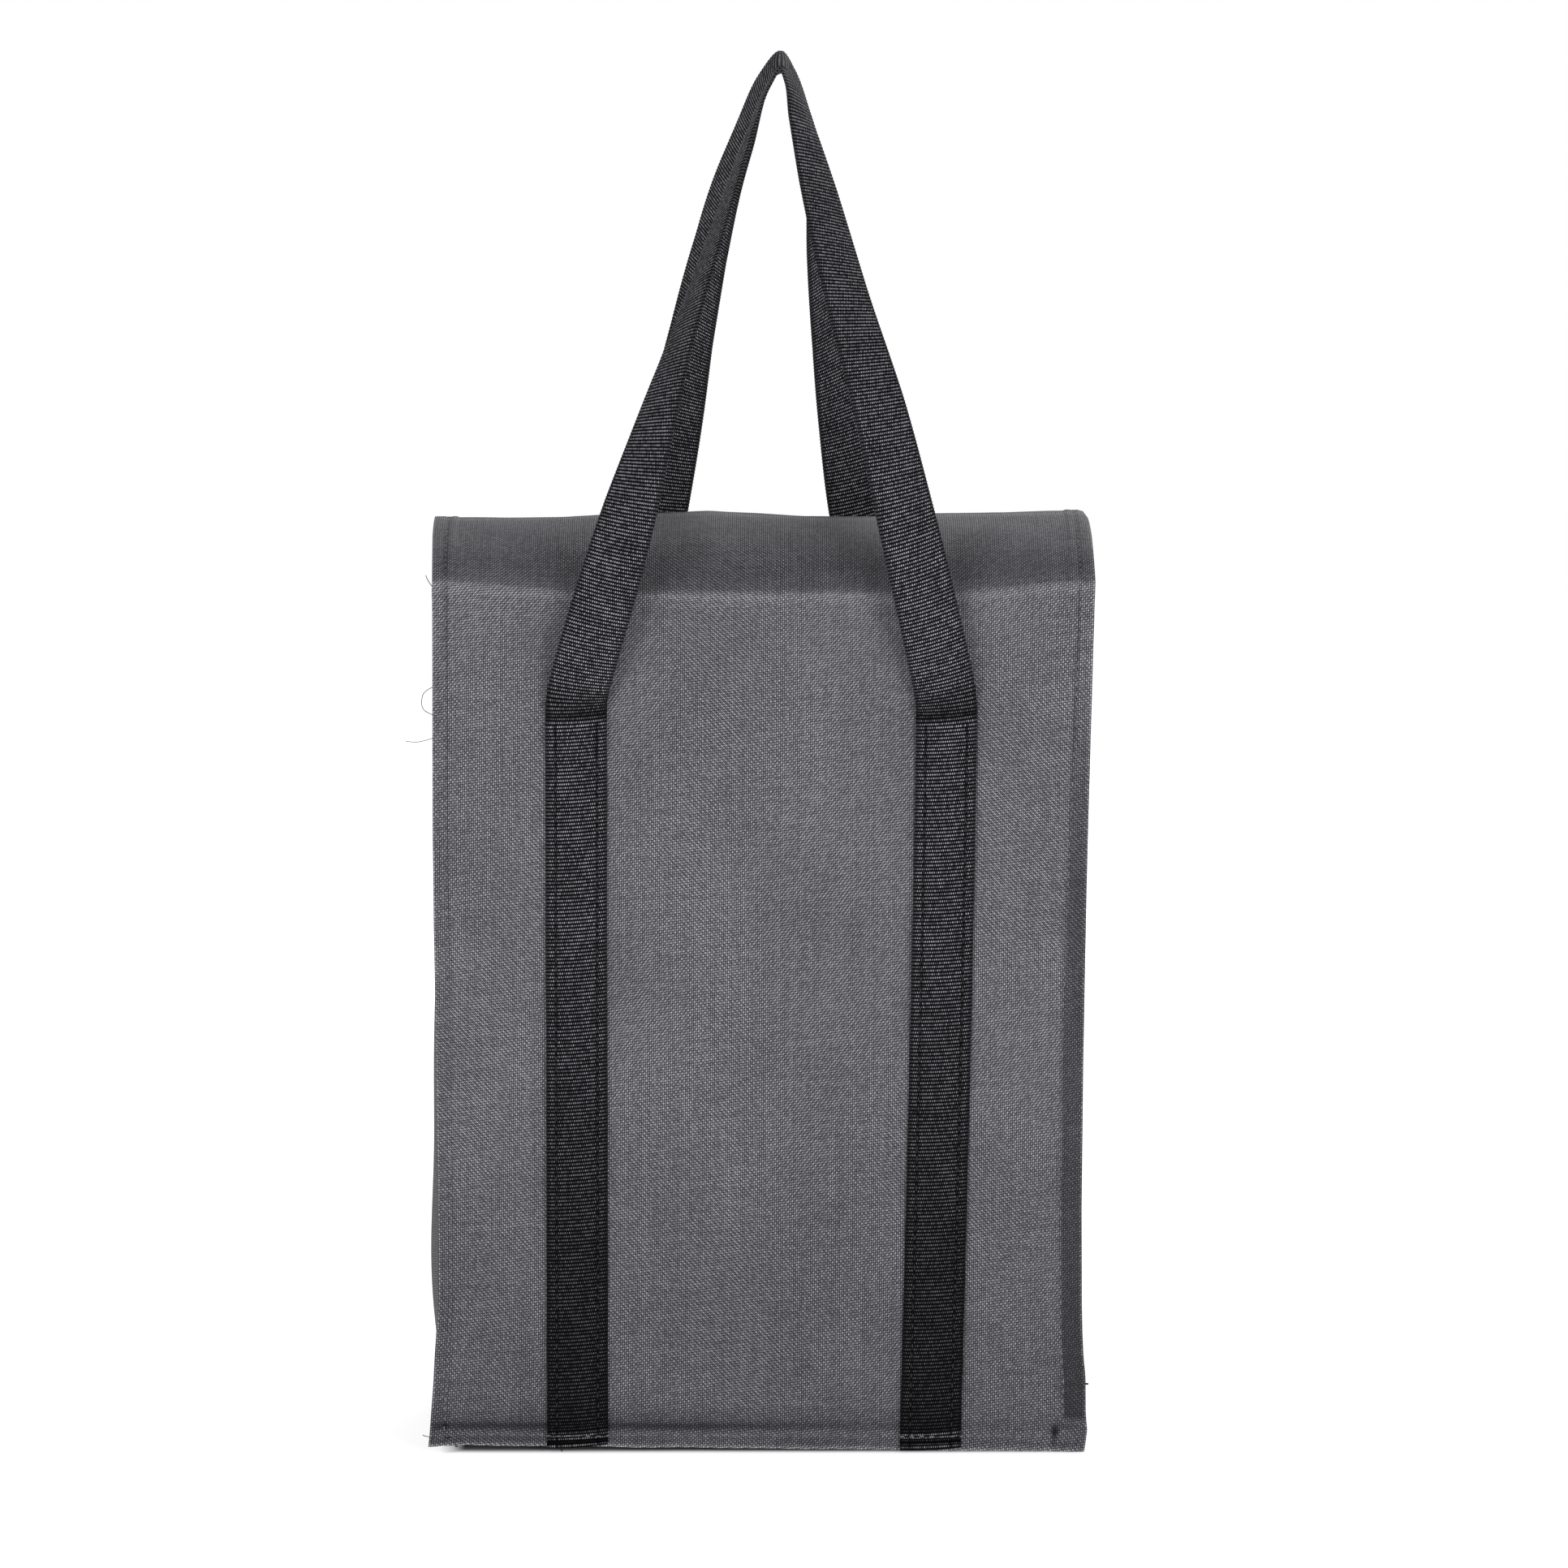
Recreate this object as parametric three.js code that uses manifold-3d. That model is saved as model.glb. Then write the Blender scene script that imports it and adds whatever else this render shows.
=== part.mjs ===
// A soft tote with an attached lid: sewn cloth panels, webbing straps and two webbing handles.
// Millimetres, +Z up. The origin is the middle of the base, on the ground.
// The lid is attached along the back, at -Y, and closes over the front, at +Y.

import * as THREE from 'three';
import { mergeVertices } from 'three/addons/utils/BufferGeometryUtils.js';
import Module from 'manifold-3d';

const wasm = await Module();
wasm.setup();

// Driving dimensions.

const bodyWidth = 254; // outer face to outer face of the two gussets
const bodyDepth = 140; // outer face to outer face of the front and back panels
const foldHeight = 360; // ground to the fold where the back panel becomes the lid
const cloth = 1; // coated woven cloth
const sideFlange = 8; // seam allowance standing out past each gusset
const bottomFlange = 7; // seam allowance hanging under the floor
const gap = 0.3; // between pieces that are sewn face to face

const lidCrown = 21; // rise of the lid over its chord
const flapLength = 36; // lid front, from the chord down to the hem
const crownClearance = 1; // gusset top edge to the lid above it

const boardThick = 2.5;
const boardClearance = 2; // board edge to the panels round it

const webbingWidth = 25.4;
const webbingThick = 1.4;
const backStrapSpacing = 152; // middle to middle of the two back straps
const frontStrapSpacing = 112;
const tackDrop = 58; // fold down to the line where the webbing comes free
const backLoopRise = 266.5; // tack line up to the top of the back handle
const frontLoopRise = 270.5;
const loopShift = 8; // top of both loops, off the middle plane
const loopClearance = 0.6; // edge of each loop's top to the plane between the two loops
const lidSwingClearance = 7; // lid's swing to the middle of a handle arm

const threadWide = 0.8;
const threadThick = 0.5;
const sideSeamInset = 5.5; // stitch line from the edge of a side flange
const bottomSeamHeight = 6.2; // stitch line above the ground
const hemInset = 5; // stitch line from a hem
const flapHemInset = 3.4; // stitch line above the lid's front hem
const rowEndInset = 2.5; // rows of stitches stop this short of an edge
const strapStitchInset = 3; // stitch line from the edge of a sewn strap
const tackBarHeight = 2.5;
const tackBarDrop = 4; // top of the tack bar below the tack line
const strapStitchDrop = 9; // top of the edge stitching below the tack line

const closureWidth = 100; // hook strip and loop strip
const closureHeight = 20;
const closureThick = 0.8;
const closureInset = 5; // closure strips above the lid's front hem

const loopSteps = 96; // lengthwise pieces in a handle
const arcSteps = 40;

// What follows from them.

const halfWidth = bodyWidth / 2;
const halfDepth = bodyDepth / 2;
const panelHalfWidth = halfWidth + sideFlange;
const panelInside = halfDepth - cloth;
const lipOutside = panelInside - gap;
const gussetInside = halfWidth - cloth;
const tackHeight = foldHeight - tackDrop;
const strapInside = halfDepth + gap;
const strapOutside = strapInside + webbingThick;
const loopStripOutside = halfDepth + gap + closureThick;
const hookStripInside = loopStripOutside + gap;
const hookStripOutside = hookStripInside + closureThick;
const flapInside = hookStripOutside + gap;
const flapOutside = flapInside + cloth;
const hemHeight = foldHeight - flapLength;
const closureBottom = hemHeight + closureInset;
const handlePivotOffset = strapOutside + gap + webbingThick / 2;
const loopSpread = webbingWidth / 2 + loopClearance;

// The lid's arch is an arc from the fold to the flap's outer face.
const lidBase = foldHeight + gap;
const archHalfChord = (halfDepth + flapOutside) / 2;
const archMiddle = (flapOutside - halfDepth) / 2;
const archRadius = (archHalfChord ** 2 + lidCrown ** 2) / (2 * lidCrown);
const archCentreHeight = lidBase + lidCrown - archRadius;

// The lid's hem swings furthest from the fold, so it sets how far the handles stand out.
const hemSwing = Math.hypot(halfDepth + flapOutside + threadThick, flapLength);
const handleBow = hemSwing - halfDepth + lidSwingClearance;

// Materials.

function clothLike(colour, roughness) {
  return new THREE.MeshStandardMaterial({ color: colour, roughness, metalness: 0 });
}

const canvasGrey = clothLike(0x5a5a60, 0.9);
const webbingBlack = clothLike(0x1d1d21, 0.85);
const threadBlack = clothLike(0x141417, 0.8);
const boardGrey = clothLike(0x3a3a3d, 0.7);
const hookBlack = clothLike(0x101012, 0.95);

const tote = new THREE.Group();

function addPiece(name, geometry, material) {
  const piece = new THREE.Mesh(geometry, material);
  piece.name = name;
  tote.add(piece);
  return piece;
}

// Geometry helpers.

// A box from its lowest and highest corners.
function boxBetween(low, high) {
  const size = high.map((value, i) => value - low[i]);
  const centre = high.map((value, i) => (value + low[i]) / 2);
  return new THREE.BoxGeometry(...size).translate(...centre);
}

// A profile drawn in Y and Z, carried along X from one place to another.
function extrudeAcross(shape, fromX, toX) {
  const geometry = new THREE.ExtrudeGeometry(shape, { depth: toX - fromX, bevelEnabled: false });
  const turn = new THREE.Matrix4().makeBasis(
    new THREE.Vector3(0, 1, 0),
    new THREE.Vector3(0, 0, 1),
    new THREE.Vector3(1, 0, 0),
  );
  return geometry.applyMatrix4(turn).translate(fromX, 0, 0);
}

// A profile drawn in X and Z, carried along Y from nearY to farY.
function extrudeInward(shape, nearY, farY) {
  const geometry = new THREE.ExtrudeGeometry(shape, { depth: farY - nearY, bevelEnabled: false });
  return geometry.rotateX(Math.PI / 2).translate(0, farY, 0);
}

// A profile drawn in X and Y, carried up Z.
function extrudeUp(shape, fromZ, toZ) {
  const geometry = new THREE.ExtrudeGeometry(shape, { depth: toZ - fromZ, bevelEnabled: false });
  return geometry.translate(0, 0, fromZ);
}

function solidFrom(geometry) {
  const plain = geometry.clone();
  plain.deleteAttribute('normal');
  plain.deleteAttribute('uv');
  const merged = mergeVertices(plain, 1e-4);
  const mesh = new wasm.Mesh({
    numProp: 3,
    vertProperties: new Float32Array(merged.attributes.position.array),
    triVerts: new Uint32Array(merged.index.array),
  });
  return new wasm.Manifold(mesh);
}

function geometryFrom(solid) {
  const mesh = solid.getMesh();
  const geometry = new THREE.BufferGeometry();
  geometry.setAttribute('position', new THREE.BufferAttribute(mesh.vertProperties, 3));
  geometry.setIndex(new THREE.BufferAttribute(mesh.triVerts, 1));
  return geometry;
}

// One closed piece from several that overlap.
function joined(geometries) {
  const solids = geometries.map(solidFrom);
  return geometryFrom(solids.slice(1).reduce((whole, next) => whole.add(next), solids[0]));
}

function cutFrom(whole, tool) {
  return geometryFrom(solidFrom(whole).subtract(solidFrom(tool)));
}

function outline(points) {
  return new THREE.Shape(points.map(([across, up]) => new THREE.Vector2(across, up)));
}

// The height of an arc concentric with the lid's arch, at a place in Y.
function archHeight(radius, y) {
  return archCentreHeight + Math.sqrt(radius ** 2 - (y - archMiddle) ** 2);
}

// Points on such an arc, from one place in Y to another.
function archPoints(radius, fromY, toY) {
  return Array.from({ length: arcSteps + 1 }, (_, i) => {
    const y = fromY + ((toY - fromY) * i) / arcSteps;
    return [y, archHeight(radius, y)];
  });
}

// Panels. The front and back panels are flat, with flanges past the gussets.

function addPanels() {
  const sides = [
    ['back_panel', -halfDepth, -panelInside],
    ['front_panel', panelInside, halfDepth],
  ];
  for (const [name, nearY, farY] of sides) {
    const panel = boxBetween([-panelHalfWidth, nearY, 0], [panelHalfWidth, farY, foldHeight]);
    addPiece(name, panel, canvasGrey);
  }
}

// A gusset is a side wall with a lip turned out at each edge, and a top that follows the lid.
function addGussets() {
  const crown = archPoints(archRadius - cloth - crownClearance, lipOutside, -lipOutside);
  const wallProfile = outline([[-lipOutside, 0], [lipOutside, 0], ...crown]);
  for (const [name, side] of [['left_gusset', -1], ['right_gusset', 1]]) {
    const walls = [gussetInside * side, halfWidth * side].sort((a, b) => a - b);
    const lips = [gussetInside * side, panelHalfWidth * side].sort((a, b) => a - b);
    const top = crown.at(-1)[1];
    const backLip = boxBetween([lips[0], -lipOutside, 0], [lips[1], cloth - lipOutside, top]);
    const frontLip = boxBetween([lips[0], lipOutside - cloth, 0], [lips[1], lipOutside, top]);
    const wall = extrudeAcross(wallProfile, walls[0], walls[1]);
    addPiece(name, joined([wall, backLip, frontLip]), canvasGrey);
  }
}

// The floor is a tray whose edges turn down into the bottom seams, with a stiff board on it.
function addFloor() {
  const halfX = gussetInside - gap;
  const top = bottomFlange + cloth;
  const block = boxBetween([-halfX, -lipOutside, 0], [halfX, lipOutside, top]);
  const insideX = halfX - cloth;
  const insideY = lipOutside - cloth;
  const hollow = boxBetween([-insideX, -insideY, -cloth], [insideX, insideY, bottomFlange]);
  addPiece('bottom_panel', cutFrom(block, hollow), canvasGrey);

  const boardX = gussetInside - boardClearance;
  const boardY = panelInside - boardClearance;
  const boardBottom = top + gap;
  const board = boxBetween([-boardX, -boardY, boardBottom], [boardX, boardY, boardBottom + boardThick]);
  addPiece('base_board', board, boardGrey);
}

// The lid is an arch from the fold to the front, then a flap down over the front panel.
function addLid() {
  const outer = archPoints(archRadius, -halfDepth, flapOutside);
  const innerBack = archMiddle - Math.sqrt((archRadius - cloth) ** 2 - (lidBase - archCentreHeight) ** 2);
  const inner = archPoints(archRadius - cloth, flapInside, innerBack);
  const profile = outline([...outer, [flapOutside, hemHeight], [flapInside, hemHeight], ...inner]);
  addPiece('lid_panel', extrudeAcross(profile, -panelHalfWidth, panelHalfWidth), canvasGrey);
}

function addClosure() {
  const half = closureWidth / 2;
  const top = closureBottom + closureHeight;
  const loopStrip = boxBetween([-half, halfDepth + gap, closureBottom], [half, loopStripOutside, top]);
  const hookStrip = boxBetween([-half, hookStripInside, closureBottom], [half, hookStripOutside, top]);
  addPiece('loop_strip', loopStrip, hookBlack);
  addPiece('hook_strip', hookStrip, hookBlack);
}

// Straps, sewn to the outside of the front and back panels.

function betweenY(side, insideY, outsideY) {
  return side < 0 ? [-outsideY, -insideY] : [insideY, outsideY];
}

const strapPlaces = [
  { name: 'back_left', side: -1, x: -backStrapSpacing / 2 },
  { name: 'back_right', side: -1, x: backStrapSpacing / 2 },
  { name: 'front_left', side: 1, x: -frontStrapSpacing / 2 },
  { name: 'front_right', side: 1, x: frontStrapSpacing / 2 },
];

// The edge stitching goes up one edge of a strap, across under the tack and down the other.
function strapStitchShape(x) {
  const half = webbingWidth / 2 - strapStitchInset;
  const bottom = bottomSeamHeight + strapStitchInset;
  const top = tackHeight - strapStitchDrop;
  return outline([
    [x - half, bottom],
    [x - half + threadWide, bottom],
    [x - half + threadWide, top - threadWide],
    [x + half - threadWide, top - threadWide],
    [x + half - threadWide, bottom],
    [x + half, bottom],
    [x + half, top],
    [x - half, top],
  ]);
}

function addStraps() {
  const half = webbingWidth / 2;
  for (const { name, side, x } of strapPlaces) {
    const [strapNear, strapFar] = betweenY(side, strapInside, strapOutside);
    const strap = boxBetween([x - half, strapNear, 0], [x + half, strapFar, tackHeight]);
    addPiece(`${name}_strap`, strap, webbingBlack);

    const threadInside = strapOutside + gap;
    const [threadNear, threadFar] = betweenY(side, threadInside, threadInside + threadThick);
    const barTop = tackHeight - tackBarDrop;
    const bar = boxBetween(
      [x - half, threadNear, barTop - tackBarHeight],
      [x + half, threadFar, barTop],
    );
    addPiece(`${name}_tack`, bar, threadBlack);
    const stitches = extrudeInward(strapStitchShape(x), threadNear, threadFar);
    addPiece(`${name}_strap_stitches`, stitches, threadBlack);
  }
}

// Seams.

function addSideSeams() {
  const across = panelHalfWidth - sideSeamInset;
  for (const [end, side] of [['back', -1], ['front', 1]]) {
    const [near, far] = betweenY(side, halfDepth + gap, halfDepth + gap + threadThick);
    for (const [hand, x] of [['left', -across], ['right', across]]) {
      const low = [x - threadWide / 2, near, rowEndInset];
      const high = [x + threadWide / 2, far, foldHeight - rowEndInset];
      addPiece(`${end}_${hand}_seam_stitches`, boxBetween(low, high), threadBlack);
    }
  }
}

// The bottom seam runs along the panel and steps out over each strap.
function bottomSeamPath(side, strapSpacing, offset) {
  const overPanel = (halfDepth + gap + offset) * side;
  const overStrap = (strapOutside + gap + offset) * side;
  const end = halfWidth - rowEndInset;
  const stepOut = webbingWidth / 2 + gap + offset;
  const middles = [-strapSpacing / 2, strapSpacing / 2];
  const path = [[-end, overPanel]];
  for (const x of middles) {
    path.push([x - stepOut, overPanel], [x - stepOut, overStrap]);
    path.push([x + stepOut, overStrap], [x + stepOut, overPanel]);
  }
  path.push([end, overPanel]);
  return path;
}

function addBottomSeams() {
  const low = bottomSeamHeight - threadWide / 2;
  const high = bottomSeamHeight + threadWide / 2;
  const panels = [['back', -1, backStrapSpacing], ['front', 1, frontStrapSpacing]];
  for (const [name, side, spacing] of panels) {
    const inner = bottomSeamPath(side, spacing, 0);
    const outer = bottomSeamPath(side, spacing, threadThick);
    const shape = outline([...inner, ...outer.reverse()]);
    addPiece(`${name}_bottom_seam_stitches`, extrudeUp(shape, low, high), threadBlack);
  }
  for (const [name, side] of [['left', -1], ['right', 1]]) {
    const [near, far] = betweenY(side, halfWidth + gap, halfWidth + gap + threadThick);
    const end = lipOutside - hemInset;
    const row = boxBetween([near, -end, low], [far, end, high]);
    addPiece(`${name}_bottom_seam_stitches`, row, threadBlack);
  }
}

// Hems.

// A row of stitches over the lid from the fold to the hem, along one side edge.
function lidSideHemProfile() {
  const inside = archRadius + gap;
  const outside = inside + threadThick;
  const faceInside = flapOutside + gap;
  const faceOutside = faceInside + threadThick;
  const start = -halfDepth + hemInset;
  return outline([
    ...archPoints(outside, start, faceOutside),
    [faceOutside, hemHeight + rowEndInset],
    [faceInside, hemHeight + rowEndInset],
    ...archPoints(inside, faceInside, start),
  ]);
}

function addHems() {
  const across = panelHalfWidth - sideSeamInset;
  const half = threadWide / 2;
  for (const [name, x] of [['left', -across], ['right', across]]) {
    const row = extrudeAcross(lidSideHemProfile(), x - half, x + half);
    addPiece(`lid_${name}_hem_stitches`, row, threadBlack);
  }

  const hemEnd = across - hemInset;
  const [lidNear, lidFar] = betweenY(1, flapOutside + gap, flapOutside + gap + threadThick);
  const lidRow = hemHeight + flapHemInset;
  const lidHem = boxBetween([-hemEnd, lidNear, lidRow - half], [hemEnd, lidFar, lidRow + half]);
  addPiece('lid_front_hem_stitches', lidHem, threadBlack);

  const [near, far] = betweenY(1, halfDepth + gap, halfDepth + gap + threadThick);
  const frontRow = foldHeight - hemInset;
  const frontHem = boxBetween([-hemEnd, near, frontRow - half], [hemEnd, far, frontRow + half]);
  addPiece('front_panel_hem_stitches', frontHem, threadBlack);

  const crownRadius = archRadius - cloth - crownClearance - hemInset;
  const hemDepth = lipOutside - hemInset;
  const gussetRow = outline([
    ...archPoints(crownRadius, -hemDepth, hemDepth),
    ...archPoints(crownRadius - threadWide, hemDepth, -hemDepth),
  ]);
  for (const [name, side] of [['left', -1], ['right', 1]]) {
    const [nearX, farX] = betweenY(side, halfWidth + gap, halfWidth + gap + threadThick);
    addPiece(`${name}_gusset_hem_stitches`, extrudeAcross(gussetRow, nearX, farX), threadBlack);
  }
}

// Stitching round a closure strip shows on the far side of the cloth that holds it.
function closureStitchShape() {
  const halfAcross = closureWidth / 2 - strapStitchInset;
  const low = closureBottom + strapStitchInset;
  const high = closureBottom + closureHeight - strapStitchInset;
  const corners = (inset) => [
    [inset - halfAcross, low + inset],
    [halfAcross - inset, low + inset],
    [halfAcross - inset, high - inset],
    [inset - halfAcross, high - inset],
  ];
  const ring = outline(corners(0));
  ring.holes.push(outline(corners(threadWide)));
  return ring;
}

function addClosureStitches() {
  const shape = closureStitchShape();
  const insideFace = panelInside - gap;
  const loopStitches = extrudeInward(shape, insideFace - threadThick, insideFace);
  addPiece('loop_strip_stitches', loopStitches, threadBlack);
  const outsideFace = flapOutside + gap;
  const hookStitches = extrudeInward(shape, outsideFace, outsideFace + threadThick);
  addPiece('hook_strip_stitches', hookStitches, threadBlack);
}

// Handles. Each is one length of webbing, flat on the panel at both tacks and turned a quarter
// turn at the top of the loop. An arm's rows give its share of the rise, its share of the way
// across to the top of the loop, and how far the webbing has turned, in degrees.

const backLeftArm = [
  [0, 0, 0],
  [0.04, 0.006, 0],
  [0.12, 0.07, 5],
  [0.24, 0.18, 16],
  [0.34, 0.27, 28],
  [0.44, 0.36, 45],
  [0.56, 0.475, 62],
  [0.66, 0.58, 71],
  [0.8, 0.73, 78],
  [0.91, 0.85, 84],
  [0.97, 0.93, 88],
];
const backRightArm = [
  [0, 0, 0],
  [0.04, 0.006, 0],
  [0.14, 0.085, 7],
  [0.32, 0.245, 18],
  [0.49, 0.405, 29],
  [0.66, 0.6, 43],
  [0.82, 0.765, 55],
  [0.92, 0.865, 68],
  [0.975, 0.925, 80],
];
const frontLeftArm = [
  [0, 0, 0],
  [0.04, 0.006, 0],
  [0.14, 0.075, 0],
  [0.28, 0.18, 8],
  [0.42, 0.29, 26],
  [0.56, 0.4, 45],
  [0.7, 0.53, 58],
  [0.8, 0.64, 65],
  [0.88, 0.755, 72],
  [0.96, 0.875, 82],
];
const frontRightArm = [
  [0, 0, 0],
  [0.04, 0.01, 0],
  [0.14, 0.15, 0],
  [0.28, 0.31, 8],
  [0.42, 0.42, 26],
  [0.56, 0.52, 43],
  [0.7, 0.61, 56],
  [0.8, 0.67, 68],
  [0.9, 0.78, 80],
  [0.97, 0.89, 87],
];

// How far a handle stands off the middle plane, from its tack to its top. The arms bow out
// past the lid's swing, then lean in.
function standOffCurve(loopRise) {
  const top = loopRise - tackDrop;
  const inward = (share) => loopSpread + (handleBow - loopSpread) * share;
  const shoulder = 0.71 * hemSwing;
  return new THREE.SplineCurve([
    new THREE.Vector2(-tackDrop, handlePivotOffset),
    new THREE.Vector2(-0.9 * tackDrop, handlePivotOffset + 0.6),
    new THREE.Vector2(-0.5 * tackDrop, inward(0.93)),
    new THREE.Vector2(0.04 * hemSwing, inward(1)),
    new THREE.Vector2(0.2 * hemSwing, inward(0.995)),
    new THREE.Vector2(0.4 * hemSwing, inward(0.905)),
    new THREE.Vector2(shoulder, inward(0.65)),
    new THREE.Vector2((shoulder + top) / 2, inward(0.27)),
    new THREE.Vector2(top, loopSpread),
  ]);
}

// The stand-off at a height above the fold, found by halving along the curve.
function standOff(curve, height) {
  let low = 0;
  let high = 1;
  for (let i = 0; i < 30; i += 1) {
    const middle = (low + high) / 2;
    if (curve.getPoint(middle).x < height) low = middle;
    else high = middle;
  }
  return curve.getPoint(low).y;
}

function handleRoute({ side, spacing, loopRise, leftArm, rightArm }) {
  const curve = standOffCurve(loopRise);
  const place = (hand) => ([rise, reach, turn]) => {
    const x = (hand * spacing) / 2;
    const height = rise * loopRise;
    const y = side * standOff(curve, height - tackDrop);
    return { at: new THREE.Vector3(x + (loopShift - x) * reach, y, tackHeight + height), hand, turn };
  };
  const top = new THREE.Vector3(loopShift, side * loopSpread, tackHeight + loopRise);
  return [
    ...leftArm.map(place(-1)),
    { at: top, hand: 0, turn: 90 },
    ...rightArm.map(place(1)).reverse(),
  ];
}

// The direction of the webbing's outer edge: away from the loop at the tacks, to +Y at the top.
function edgeDirection(stop, along, topTilt) {
  const turn = THREE.MathUtils.degToRad(stop.turn);
  const tilt = THREE.MathUtils.degToRad(topTilt);
  const edge = new THREE.Vector3(
    Math.cos(turn) * stop.hand,
    Math.sin(turn) * Math.cos(tilt),
    Math.sin(turn) * Math.sin(tilt),
  );
  return edge.addScaledVector(along, -edge.dot(along)).normalize();
}

function handleGeometry(handle) {
  const stops = handleRoute(handle);
  const route = new THREE.CatmullRomCurve3(stops.map((stop) => stop.at), false, 'centripetal');
  const lastStop = stops.length - 1;
  const geometry = new THREE.BoxGeometry(webbingWidth, webbingThick, 1, 2, 1, loopSteps);
  const positions = geometry.attributes.position;
  const corner = new THREE.Vector3();
  for (let i = 0; i < positions.count; i += 1) {
    corner.fromBufferAttribute(positions, i);
    const share = evenShare(route, corner.z + 0.5);
    const along = route.getTangent(share);
    const before = Math.min(Math.floor(share * lastStop), lastStop - 1);
    const blend = share * lastStop - before;
    const edge = edgeDirection(stops[before], along, handle.topTilt)
      .multiplyScalar(1 - blend)
      .addScaledVector(edgeDirection(stops[before + 1], along, handle.topTilt), blend)
      .normalize();
    const face = new THREE.Vector3().crossVectors(along, edge);
    const point = route.getPoint(share);
    point.addScaledVector(edge, corner.x).addScaledVector(face, corner.y);
    positions.setXYZ(i, point.x, point.y, point.z);
  }
  geometry.deleteAttribute('normal');
  geometry.deleteAttribute('uv');
  return mergeVertices(geometry, 1e-4);
}

// The curve's own parameter at an even share of its length.
function evenShare(route, share) {
  return route.getUtoTmapping(THREE.MathUtils.clamp(share, 0, 1));
}

function addHandles() {
  const backHandle = {
    side: -1,
    spacing: backStrapSpacing,
    loopRise: backLoopRise,
    leftArm: backLeftArm,
    rightArm: backRightArm,
    topTilt: -5,
  };
  const frontHandle = {
    side: 1,
    spacing: frontStrapSpacing,
    loopRise: frontLoopRise,
    leftArm: frontLeftArm,
    rightArm: frontRightArm,
    topTilt: 14,
  };
  const backPiece = addPiece('back_handle', handleGeometry(backHandle), webbingBlack);
  const frontPiece = addPiece('front_handle', handleGeometry(frontHandle), webbingBlack);
  backPiece.position.z = gap;
  frontPiece.position.z = gap;
}

addPanels();
addGussets();
addFloor();
addLid();
addClosure();
addStraps();
addSideSeams();
addBottomSeams();
addHems();
addClosureStitches();
addHandles();

export default tote;
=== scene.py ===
import math

import bpy
import numpy as np
from mathutils import Matrix, Vector


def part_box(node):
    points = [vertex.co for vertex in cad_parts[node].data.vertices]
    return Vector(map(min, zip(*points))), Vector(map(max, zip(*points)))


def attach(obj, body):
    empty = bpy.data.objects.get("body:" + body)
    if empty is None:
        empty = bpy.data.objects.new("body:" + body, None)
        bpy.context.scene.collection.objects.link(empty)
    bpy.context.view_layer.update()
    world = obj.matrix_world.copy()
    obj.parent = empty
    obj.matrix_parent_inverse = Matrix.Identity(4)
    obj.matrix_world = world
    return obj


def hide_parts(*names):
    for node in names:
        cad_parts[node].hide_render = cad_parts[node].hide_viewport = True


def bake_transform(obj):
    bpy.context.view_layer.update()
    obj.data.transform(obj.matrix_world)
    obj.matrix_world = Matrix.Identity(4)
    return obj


mm = 0.001

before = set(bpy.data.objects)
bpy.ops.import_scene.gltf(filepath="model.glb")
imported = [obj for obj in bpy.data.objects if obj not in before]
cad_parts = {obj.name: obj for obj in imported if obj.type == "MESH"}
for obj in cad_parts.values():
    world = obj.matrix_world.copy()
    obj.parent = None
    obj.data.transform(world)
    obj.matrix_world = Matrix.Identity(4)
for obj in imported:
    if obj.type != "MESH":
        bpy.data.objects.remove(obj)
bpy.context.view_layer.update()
print("frame:", len(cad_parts), "nodes")


# places that come from the frame, in metres

backLow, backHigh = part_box("back_panel")
lidLow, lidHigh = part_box("lid_panel")
strapLow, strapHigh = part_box("back_right_strap")
boardLow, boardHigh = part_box("base_board")
floorLow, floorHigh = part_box("bottom_panel")

halfWidth = backHigh.x                      # middle plane to the edge of a side flange
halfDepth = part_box("front_panel")[1].y      # middle plane to the outer face of a panel
foldHeight = backHigh.z
cloth = backHigh.y - backLow.y
flapFace = lidHigh.y
flapHem = lidLow.z
lidTop = lidHigh.z
tackHeight = strapHigh.z
webbingWidth = strapHigh.x - strapLow.x
webbingThick = strapHigh.y - strapLow.y
gap = -halfDepth - strapHigh.y              # between pieces that are sewn face to face
sideSeam = (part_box("back_right_seam_stitches")[0].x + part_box("back_right_seam_stitches")[1].x) / 2
bottomSeam = (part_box("back_bottom_seam_stitches")[0].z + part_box("back_bottom_seam_stitches")[1].z) / 2
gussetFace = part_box("right_bottom_seam_stitches")[0].x - gap
lipWidth = halfWidth - gussetFace
sides = ((-1, "left"), (1, "right"))


# camera, light and floor

studio = {
    "lookAt": (0.0093, -0.070, foldHeight - 0.083),
    "distance": 4.0,
    "tilt": 5.5,               # degrees above the horizon
    "seenAcross": 0.644,       # metres across the view, at the back panel
    "sensor": 36.0,
    "floorSize": 9.0,
    "floorColour": (0.62, 0.62, 0.63, 1),
    "shadowReach": 0.010,
    "nearGlow": 0.72,          # the floor glows more away from the bag, so that it has no far edge
    "farGlow": 0.86,
    "skyToCamera": 1.0,
    "skyToBag": 0.42,
    "lights": [                # name, place, size, power, colour
        ("left", (-1.5, -3.0, 0.95), 1.3, 44, (1, 0.99, 0.985)),
        ("right", (1.7, -3.0, 0.95), 1.3, 48, (0.98, 0.99, 1)),
        ("back", (0.6, 2.6, 1.8), 1.6, 26, (1, 1, 1)),
    ],
}


def aimed(place, target):
    direction = Vector(target) - Vector(place)
    return direction.to_track_quat("-Z", "Y").to_euler()


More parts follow.
